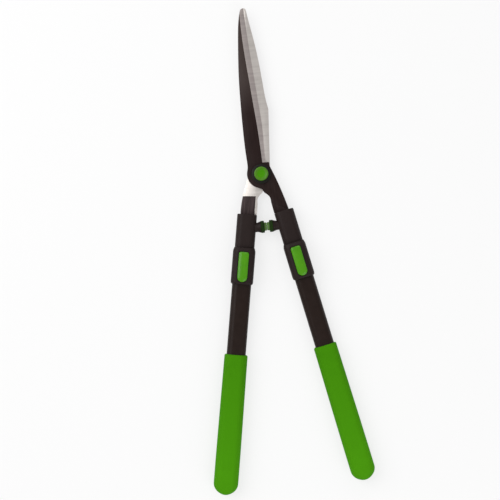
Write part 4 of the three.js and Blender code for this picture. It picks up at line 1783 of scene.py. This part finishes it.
@dataclass
class LockLever:
    """Crowned rocking lever with its boss, nose and spring pocket, its pin and its coil spring."""

    start: float = 115.6
    length: float = 44.8
    width: float = 15
    top_round: float = 3
    base: float = 14.1
    edge_height: float = 2.4
    crown: float = 2.45
    pin_down: float = 130.0
    pin_height: float = 13.3
    pin_radius: float = 1.25
    pin_length: float = 20.4
    boss_radius: float = 2.5
    web_height: float = 2.0
    web_lift: float = -0.2
    web_inset: float = 0.02
    nose: Place = (9, 7, 6.4)
    nose_lift: float = 0.4
    nose_down: float = 120.1
    spring_down: float = 149.7
    spring_seat: float = 10.8
    spring_height: float = 5.4
    spring_radius: float = 2.4
    spring_wire: float = 0.7
    spring_turns: int = 4
    spring_steps: int = 28
    spring_sides: int = 10
    spring_pressed: float = 0.6
    pocket_radius: float = 2.9
    pocket_start: float = 13.1
    pocket_top: float = 16.5
    hole_slack: float = 0.15
    hole_reach: float = 20
    base_chamfer: float = 0.4
    crown_seam: float = 0.2
    crown_steps: int = 15
    corner_steps: int = 12
    least_corner: float = 0.3
    sides: int = 32
    pin_rounding: float = 0.25

    def ring(self, inset: float, height: float) -> list[Place]:
        """Plan of the lever, drawn in by an inset.

        Args:
            inset: How far it is drawn in.
            height: Its height.

        Returns:
            The plan's places, anticlockwise.
        """
        half = self.width / 2 - inset
        corner = min(max(self.top_round - inset / 2, self.least_corner), half)
        top = -(self.start + inset)
        foot = -(self.start + self.length - self.width / 2)
        points = []
        for sign, quarter in ((1, 0), (-1, 1)):
            for step in range(self.corner_steps + 1):
                angle = (quarter + step / self.corner_steps) * math.pi / 2
                x = sign * (half - corner) + corner * math.cos(angle)
                points.append((x, top - corner + corner * math.sin(angle), height))
        foot_steps = 3 * self.corner_steps
        for step in range(1, foot_steps):
            angle = math.pi * (1 + step / foot_steps)
            points.append((half * math.cos(angle), foot + half * math.sin(angle), height))
        return points

    def at_pin(self, aside: float) -> Place:
        """A place on the pin's axis."""
        return (aside, -self.pin_down, self.pin_height)

    def lever(self) -> bpy.types.Object:
        """The lever itself.

        Returns:
            The lever, with its boss, web, nose, pocket and pin hole.
        """
        edge = self.base + self.edge_height
        rings = [
            self.ring(self.base_chamfer, self.base),
            self.ring(0, self.base + self.base_chamfer),
            self.ring(0, edge - self.crown_seam),
        ]
        for step in range(1, self.crown_steps):
            angle = step / self.crown_steps * math.pi / 2
            inset = self.width / 2 * (1 - math.cos(angle))
            rings.append(self.ring(inset, edge + self.crown * math.sin(angle)))
        piece = loft("lever", rings)
        reach = self.width / 2
        work(piece, rod("boss", self.boss_radius, self.at_pin(-reach), self.at_pin(reach)), Cut.ADD)
        web = (self.width - self.web_inset, 2 * self.boss_radius - self.web_inset, self.web_height)
        work(piece, block("web", (0, -self.pin_down, self.base + self.web_lift), web), Cut.ADD)
        work(piece, block("nose", (0, -self.nose_down, self.base + self.nose_lift), self.nose), Cut.ADD)
        pocket = (0, -self.spring_down)
        drill(piece, self.pocket_radius, pocket, self.pocket_start, self.pocket_top, self.sides)
        start = self.at_pin(-self.hole_reach)
        end = self.at_pin(self.hole_reach)
        work(piece, rod("hole", self.pin_radius + self.hole_slack, start, end, self.sides))
        return piece

    def pin(self) -> bpy.types.Object:
        """Hinge pin with rounded ends.

        Returns:
            The pin.
        """
        half = self.pin_length / 2
        piece = rod("pin", self.pin_radius, self.at_pin(-half), self.at_pin(half), self.sides)
        soften(piece, self.pin_rounding)
        return piece

    def spring(self) -> bpy.types.Object:
        """Coil spring that stands in the well under the lever's lower end.

        Returns:
            The spring.
        """
        clear_bench()
        bpy.ops.mesh.primitive_circle_add(
            vertices=self.spring_sides,
            radius=self.spring_wire / 2,
            location=(self.spring_radius - self.spring_wire / 2, 0, 0),
            rotation=(math.pi / 2, 0, 0),
        )
        piece = bpy.context.object
        piece.name = "spring"
        bpy.ops.object.transform_apply(location=True, rotation=True, scale=True)
        coil = piece.modifiers.new("coil", "SCREW")
        coil.axis = "Z"
        coil.iterations = self.spring_turns
        coil.steps = self.spring_steps
        coil.render_steps = self.spring_steps
        coil.screw_offset = (self.spring_height - self.spring_wire) / self.spring_turns
        bpy.ops.object.modifier_apply(modifier=coil.name)
        with edit(piece):
            bpy.ops.mesh.select_all(action="SELECT")
            bpy.ops.mesh.fill_holes(sides=0)
            bpy.ops.mesh.select_all(action="SELECT")
            bpy.ops.mesh.normals_make_consistent(inside=False)
        foot = self.spring_seat + self.spring_wire / 2
        piece.data.transform(Matrix.Translation((0, -self.spring_down, foot)))
        return piece

    def build(self, palette: Palette) -> None:
        """Models, dresses and settles the levers, their pins and their springs.

        Args:
            palette: The finishes.
        """
        lever = self.lever()
        dress(lever, palette.green_gloss)
        settle_pair(lever, "rocking_lever", "lock_lever", Body.LOCK)
        pin = self.pin()
        dress(pin, palette.pin)
        settle_pair(pin, "hinge_pin", "lever_pin", Body.TELESCOPE)
        spring = self.spring()
        dress(spring, palette.zinc)
        coils = settle_pair(spring, "return_spring", "lever_spring", Body.TELESCOPE)
        for side, coil in coils.items():
            side.node("lever_press")
            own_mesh(coil)


@dataclass
class Collar:
    """Locking collar: flared shell with the lever's well, window and pin hole."""

    lever: LockLever
    start: float = 109.25
    length: float = 54.75
    width: float = 33.6
    front: float = 15.5
    back: float = 13.0
    round: float = 9
    top_width: float = 31.2
    flare: float = 5.5
    end_width: float = 30.6
    taper: float = 4.5
    mouth_edge: Point = (0.5, 0.25)
    mouth_steps: int = 3
    end_edge: float = 0.4
    well_floor: float = 10.5
    well_side: float = 0.5
    window: Place = (11, 9, 6.4)
    gap: float = 0.3
    inner_bore: Point = (26.0, 15.2)
    outer_bore: Point = (29.4, 18.6)
    step_down: float = 129.2
    screw: Screw = Screw(radius=1.5, head_radius=3.0, head_height=1.4, low=-12.7, tip=-7.75)
    screw_down: float = 145.5
    sink_run: Point = (-20, -11)
    hole_run: Point = (-20, -5)
    rounding: float = 0.35
    rounding_angle: float = 52
    corner_steps: int = 14
    flare_steps: int = 8

    def ring(self, width: float, down: float) -> list[Place]:
        """Ring of the shell at one width.

        Args:
            width: Its width; its height shrinks with it.
            down: How far down the handle it stands.

        Returns:
            The ring's places.
        """
        inset = (self.width - width) / 2
        box = round_box(width, self.front + self.back - 2 * inset, self.round - inset, self.corner_steps)
        return across(box, down, (self.front - self.back) / 2)

    def body(self) -> bpy.types.Object:
        """The collar without its hollows.

        Returns:
            The body, flared at its upper end and tapered at its lower end.
        """
        end = self.start + self.length
        inset, edge = self.mouth_edge
        rings = []
        for s, c in arc_shares(self.mouth_steps):
            rings.append(self.ring(self.top_width - inset * (1 - s), self.start + edge * (1 - c)))
        for step in range(1, self.flare_steps + 1):
            share = step / self.flare_steps
            width = self.top_width + (self.width - self.top_width) * ease(share)
            rings.append(self.ring(width, self.start + edge + (self.flare - edge) * share))
        rings.append(self.ring(self.width, (self.start + end) / 2))
        for s, c in arc_shares(self.flare_steps):
            width = self.end_width + (self.width - self.end_width) * c
            rings.append(self.ring(width, end - self.taper + (self.taper - self.end_edge) * s))
        rings.append(self.ring(self.end_width - self.end_edge, end))
        return loft("collar", rings)

    def shell(self) -> bpy.types.Object:
        """The collar with its stepped bore, well, window and holes.

        Returns:
            The collar.
        """
        piece = self.body()
        inner, outer = (round_box(*size, size[1] / 2) for size in (self.inner_bore, self.outer_bore))
        work(piece, loft("bore", [
            across(inner, self.start - OVER),
            across(inner, self.step_down),
            across(outer, self.step_down),
            across(outer, self.start + self.length + OVER),
        ]))
        well = [self.lever.ring(-self.well_side, height) for height in (self.well_floor, self.front + OVER)]
        work(piece, loft("well", well))
        work(piece, block("window", (0, -self.lever.nose_down, self.well_floor), self.window))
        reach = self.lever.pin_length / 2 + self.gap
        hole = self.lever.pin_radius + self.gap
        work(piece, rod("hole", hole, self.lever.at_pin(-reach), self.lever.at_pin(reach), SINK_SIDES))
        drill(piece, self.screw.head_radius + self.gap, (0, -self.screw_down), *self.sink_run, SINK_SIDES)
        drill(piece, self.screw.radius + self.gap, (0, -self.screw_down), *self.hole_run, HOLE_SIDES)
        return piece

    def build(self, palette: Palette) -> None:
        """Models, dresses and settles the collars and their screws.

        Args:
            palette: The finishes.
        """
        shell = self.shell()
        soften(shell, self.rounding, angle=self.rounding_angle)
        dress(shell, palette.moulded_black)
        settle_pair(shell, "locking_collar", "collar", Body.TELESCOPE)
        piece = self.screw.model("collar_screw", self.screw_down)
        dress(piece, palette.zinc)
        settle_pair(piece, "collar_screw_zinc", "collar_screw", Body.TELESCOPE)


@dataclass
class SoftGrip:
    """Swelling sleeve with a round closed end, bored for the tube."""

    start: float = 269.8
    length: float = 210.7
    mouth: Point = (34.8, 24.0)
    full: Point = (36.8, 26.0)
    end_round: float = 17.5
    mouth_round: float = 2.4
    side_round: float = 11
    bore: Point = (29.4, 18.6)
    bore_end: float = 470.0
    swell_steps: int = 6
    mouth_steps: int = 6
    corner_steps: int = 14
    stations: int = 24

    # Shares of the swell and of the way from the mouth to the closed end's round
    swell: Sequence[Point] = ((0, 0), (0.1, 0.1), (0.45, 0.35), (0.85, 0.65), (1, 0.85), (1, 1))

    def ring(self, width: float, height: float, down: float) -> list[Place]:
        """Ring of the sleeve, its corners as round as its size lets them be."""
        corner = min(self.side_round, height / 2, width / 2)
        return across(round_box(width, height, corner, self.corner_steps), down)

    def sleeve(self) -> bpy.types.Object:
        """The sleeve, bored from its mouth.

        Returns:
            The sleeve.
        """
        line = follow(self.swell, self.swell_steps)
        end = self.start + self.length
        run = self.length - self.end_round - self.mouth_round
        rings = []
        for s, c in arc_shares(self.mouth_steps):
            inset = self.mouth_round * (1 - s)
            width, height = (size - 2 * inset for size in self.mouth)
            rings.append(self.ring(width, height, self.start + self.mouth_round * (1 - c)))
        for step in range(1, self.stations + 1):
            swell = share_at(line, step / self.stations)
            width, height = (low + (high - low) * swell for low, high in zip(self.mouth, self.full))
            rings.append(self.ring(width, height, self.start + self.mouth_round + run * step / self.stations))
        for s, c in arc_shares(self.stations)[1:-1]:
            width = self.full[0] * c
            height = self.full[1] * math.sqrt(c)
            rings.append(self.ring(width, height, end - self.end_round * (1 - s)))
        piece = loft("sleeve", rings)
        oval = round_box(*self.bore, self.bore[1] / 2)
        work(piece, loft("bore", [across(oval, self.start - OVER), across(oval, self.bore_end)]))
        return piece

    def build(self, palette: Palette) -> None:
        """Models, dresses and settles the grips.

        Args:
            palette: The finishes.
        """
        sleeve = self.sleeve()
        dress(sleeve, palette.skin)
        settle_pair(sleeve, "soft_grip", "grip", Body.TELESCOPE)


@dataclass
class InnerWorks:
    """Pieces of the frame that keep their own solids and only get a finish."""

    nodes: dict[str, bpy.types.Object]

    def dress(self, palette: Palette) -> None:
        """Gives each of them its material.

        Args:
            palette: The finishes.
        """
        both = {
            "tang_insert": palette.moulded_black,
            "guide_plug": palette.moulded_black,
            "end_plug": palette.moulded_black,
            "brake_pad": palette.rubber,
        }
        finishes = {name: palette.zinc for name in ("pivot_bush", "pivot_bolt", "pivot_nut")}
        finishes |= {side.node(name): material for side in Side for name, material in both.items()}
        for name, material in finishes.items():
            node = self.nodes[name]
            for slot in node.material_slots:
                slot.material = material
            LOG.info("%s is finished in %s", name, material.name)


@dataclass(frozen=True)
class Lamp:
    """A round soft lamp that faces the middle of the shears, in metres and watts."""

    name: str
    place: Place
    size: float
    power: float
    target: Place = (0, -0.1, 0)

    def hang(self) -> None:
        """Hangs the lamp."""
        data = bpy.data.lights.new(self.name, "AREA")
        data.shape = "DISK"
        data.size = self.size
        data.energy = self.power
        light = bpy.data.objects.new(self.name, data)
        bpy.context.scene.collection.objects.link(light)
        light.location = self.place
        way = Vector(self.target) - Vector(self.place)
        light.rotation_euler = way.to_track_quat("-Z", "Y").to_euler()


@dataclass
class Studio:
    """Pale floor, soft lights and the camera straight above; the floor's sizes are in metres."""

    pivot_pixel: Point = (261.2, 174.0)
    picture: float = 500
    scale: float = 1.5
    tilt: float = math.radians(6.25)
    lens: float = 100
    sensor: float = 36
    clip: Point = (0.05, 20)
    level: float = 13
    floor_radius: float = 15
    floor_sides: int = 96
    backdrop: float = 3.3
    paper: Place = (0.86, 0.86, 0.86)
    paper_roughness: float = 0.9
    paper_shine: float = 0.1
    paper_glow: float = 0.72
    surroundings: float = 0.50
    lamps: Sequence[Lamp] = (
        Lamp("key_light", place=(-1.5, 0.8, 1.8), size=2.4, power=37),
        Lamp("fill_light", place=(0.9, -1.9, 1.4), size=2.2, power=19.5),
        Lamp("back_light", place=(0.5, 2.3, 1.2), size=1.8, power=10.5),
    )

    def place_camera(self) -> None:
        """Sets the camera above the picture's middle, tilted as the photograph is."""
        right = Vector((math.cos(self.tilt), -math.sin(self.tilt), 0))
        up = Vector((math.sin(self.tilt), math.cos(self.tilt), 0))
        aside = (self.picture / 2 - self.pivot_pixel[0]) * self.scale
        rise = (self.pivot_pixel[1] - self.picture / 2) * self.scale
        middle = right * aside + up * rise
        height = self.picture * self.scale * self.lens / self.sensor
        data = bpy.data.cameras.new("studio_camera")
        data.lens = self.lens
        data.sensor_width = self.sensor
        data.clip_start, data.clip_end = self.clip
        camera = bpy.data.objects.new("studio_camera", data)
        bpy.context.scene.collection.objects.link(camera)
        camera.location = (middle + Vector((0, 0, self.level + height))) * MM
        camera.rotation_euler = (0, 0, -self.tilt)
        bpy.context.scene.camera = camera

    def lay_floor(self) -> None:
        """Lays the pale floor that the shears rest on and turns up its rim as a backdrop."""
        clear_bench()
        bpy.ops.mesh.primitive_circle_add(
            vertices=self.floor_sides, radius=self.floor_radius, fill_type="NGON",
        )
        floor = bpy.context.object
        floor.name = "studio_floor"
        with edit(floor, "EDGE"):
            bpy.ops.mesh.select_all(action="SELECT")
            bpy.ops.mesh.extrude_edges_move(TRANSFORM_OT_translate={"value": (0, 0, self.backdrop)})
        floor.data.materials.append(self.mix_paper())

    def mix_paper(self) -> bpy.types.Material:
        """Makes the floor's white paper, which looks brighter than it lights the shears.

        Returns:
            The material.
        """
        recipe = Recipe("studio_paper")
        recipe.set(
            Base_Color=(*self.paper, 1),
            Roughness=self.paper_roughness,
            Specular_IOR_Level=self.paper_shine,
        )
        rays = recipe.nodes.new("ShaderNodeLightPath").outputs
        seen = rays["Is Camera Ray"]
        for name in ("Is Glossy Ray", "Is Transmission Ray"):
            add = recipe.nodes.new("ShaderNodeMath")
            add.operation = "ADD"
            add.use_clamp = True
            recipe.join(seen, add.inputs[0])
            recipe.join(rays[name], add.inputs[1])
            seen = add.outputs["Value"]
        share = recipe.nodes.new("ShaderNodeMath")
        share.operation = "MULTIPLY"
        share.inputs[1].default_value = self.paper_glow
        recipe.join(seen, share.inputs[0])
        glow = recipe.nodes.new("ShaderNodeEmission")
        glow.inputs["Color"].default_value = (1, 1, 1, 1)
        mix = recipe.nodes.new("ShaderNodeMixShader")
        recipe.join(share.outputs["Value"], mix.inputs["Fac"])
        recipe.join(recipe.shader.outputs["BSDF"], mix.inputs[1])
        recipe.join(glow.outputs["Emission"], mix.inputs[2])
        recipe.join(mix.outputs["Shader"], recipe.nodes["Material Output"].inputs["Surface"])
        return recipe.material

    def light_up(self) -> None:
        """Hangs the lamps and sets the surroundings."""
        for lamp in self.lamps:
            lamp.hang()
        world = bpy.data.worlds.new("studio_world")
        world.use_nodes = True
        back = world.node_tree.nodes["Background"]
        back.inputs["Color"].default_value = (1, 1, 1, 1)
        back.inputs["Strength"].default_value = self.surroundings
        bpy.context.scene.world = world

    def build(self) -> None:
        """Sets up the whole studio."""
        self.lay_floor()
        self.light_up()
        self.place_camera()
        bpy.context.scene.view_settings.view_transform = "Standard"


def main() -> None:
    """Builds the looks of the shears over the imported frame."""
    logging.basicConfig(level=logging.INFO, format="%(name)s: %(message)s")
    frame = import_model()
    Studio().build()
    palette = Palette()
    for hand in Handedness:
        Blade(hand).build(palette)
    PivotStack().build(palette)
    lever = LockLever()
    for group in (Ferrule(), Telescope(), Collar(lever), lever, SoftGrip()):
        group.build(palette)
    InnerWorks(frame["nodes"]).dress(palette)
    clear_bench()


if __name__ == "__main__":
    main()
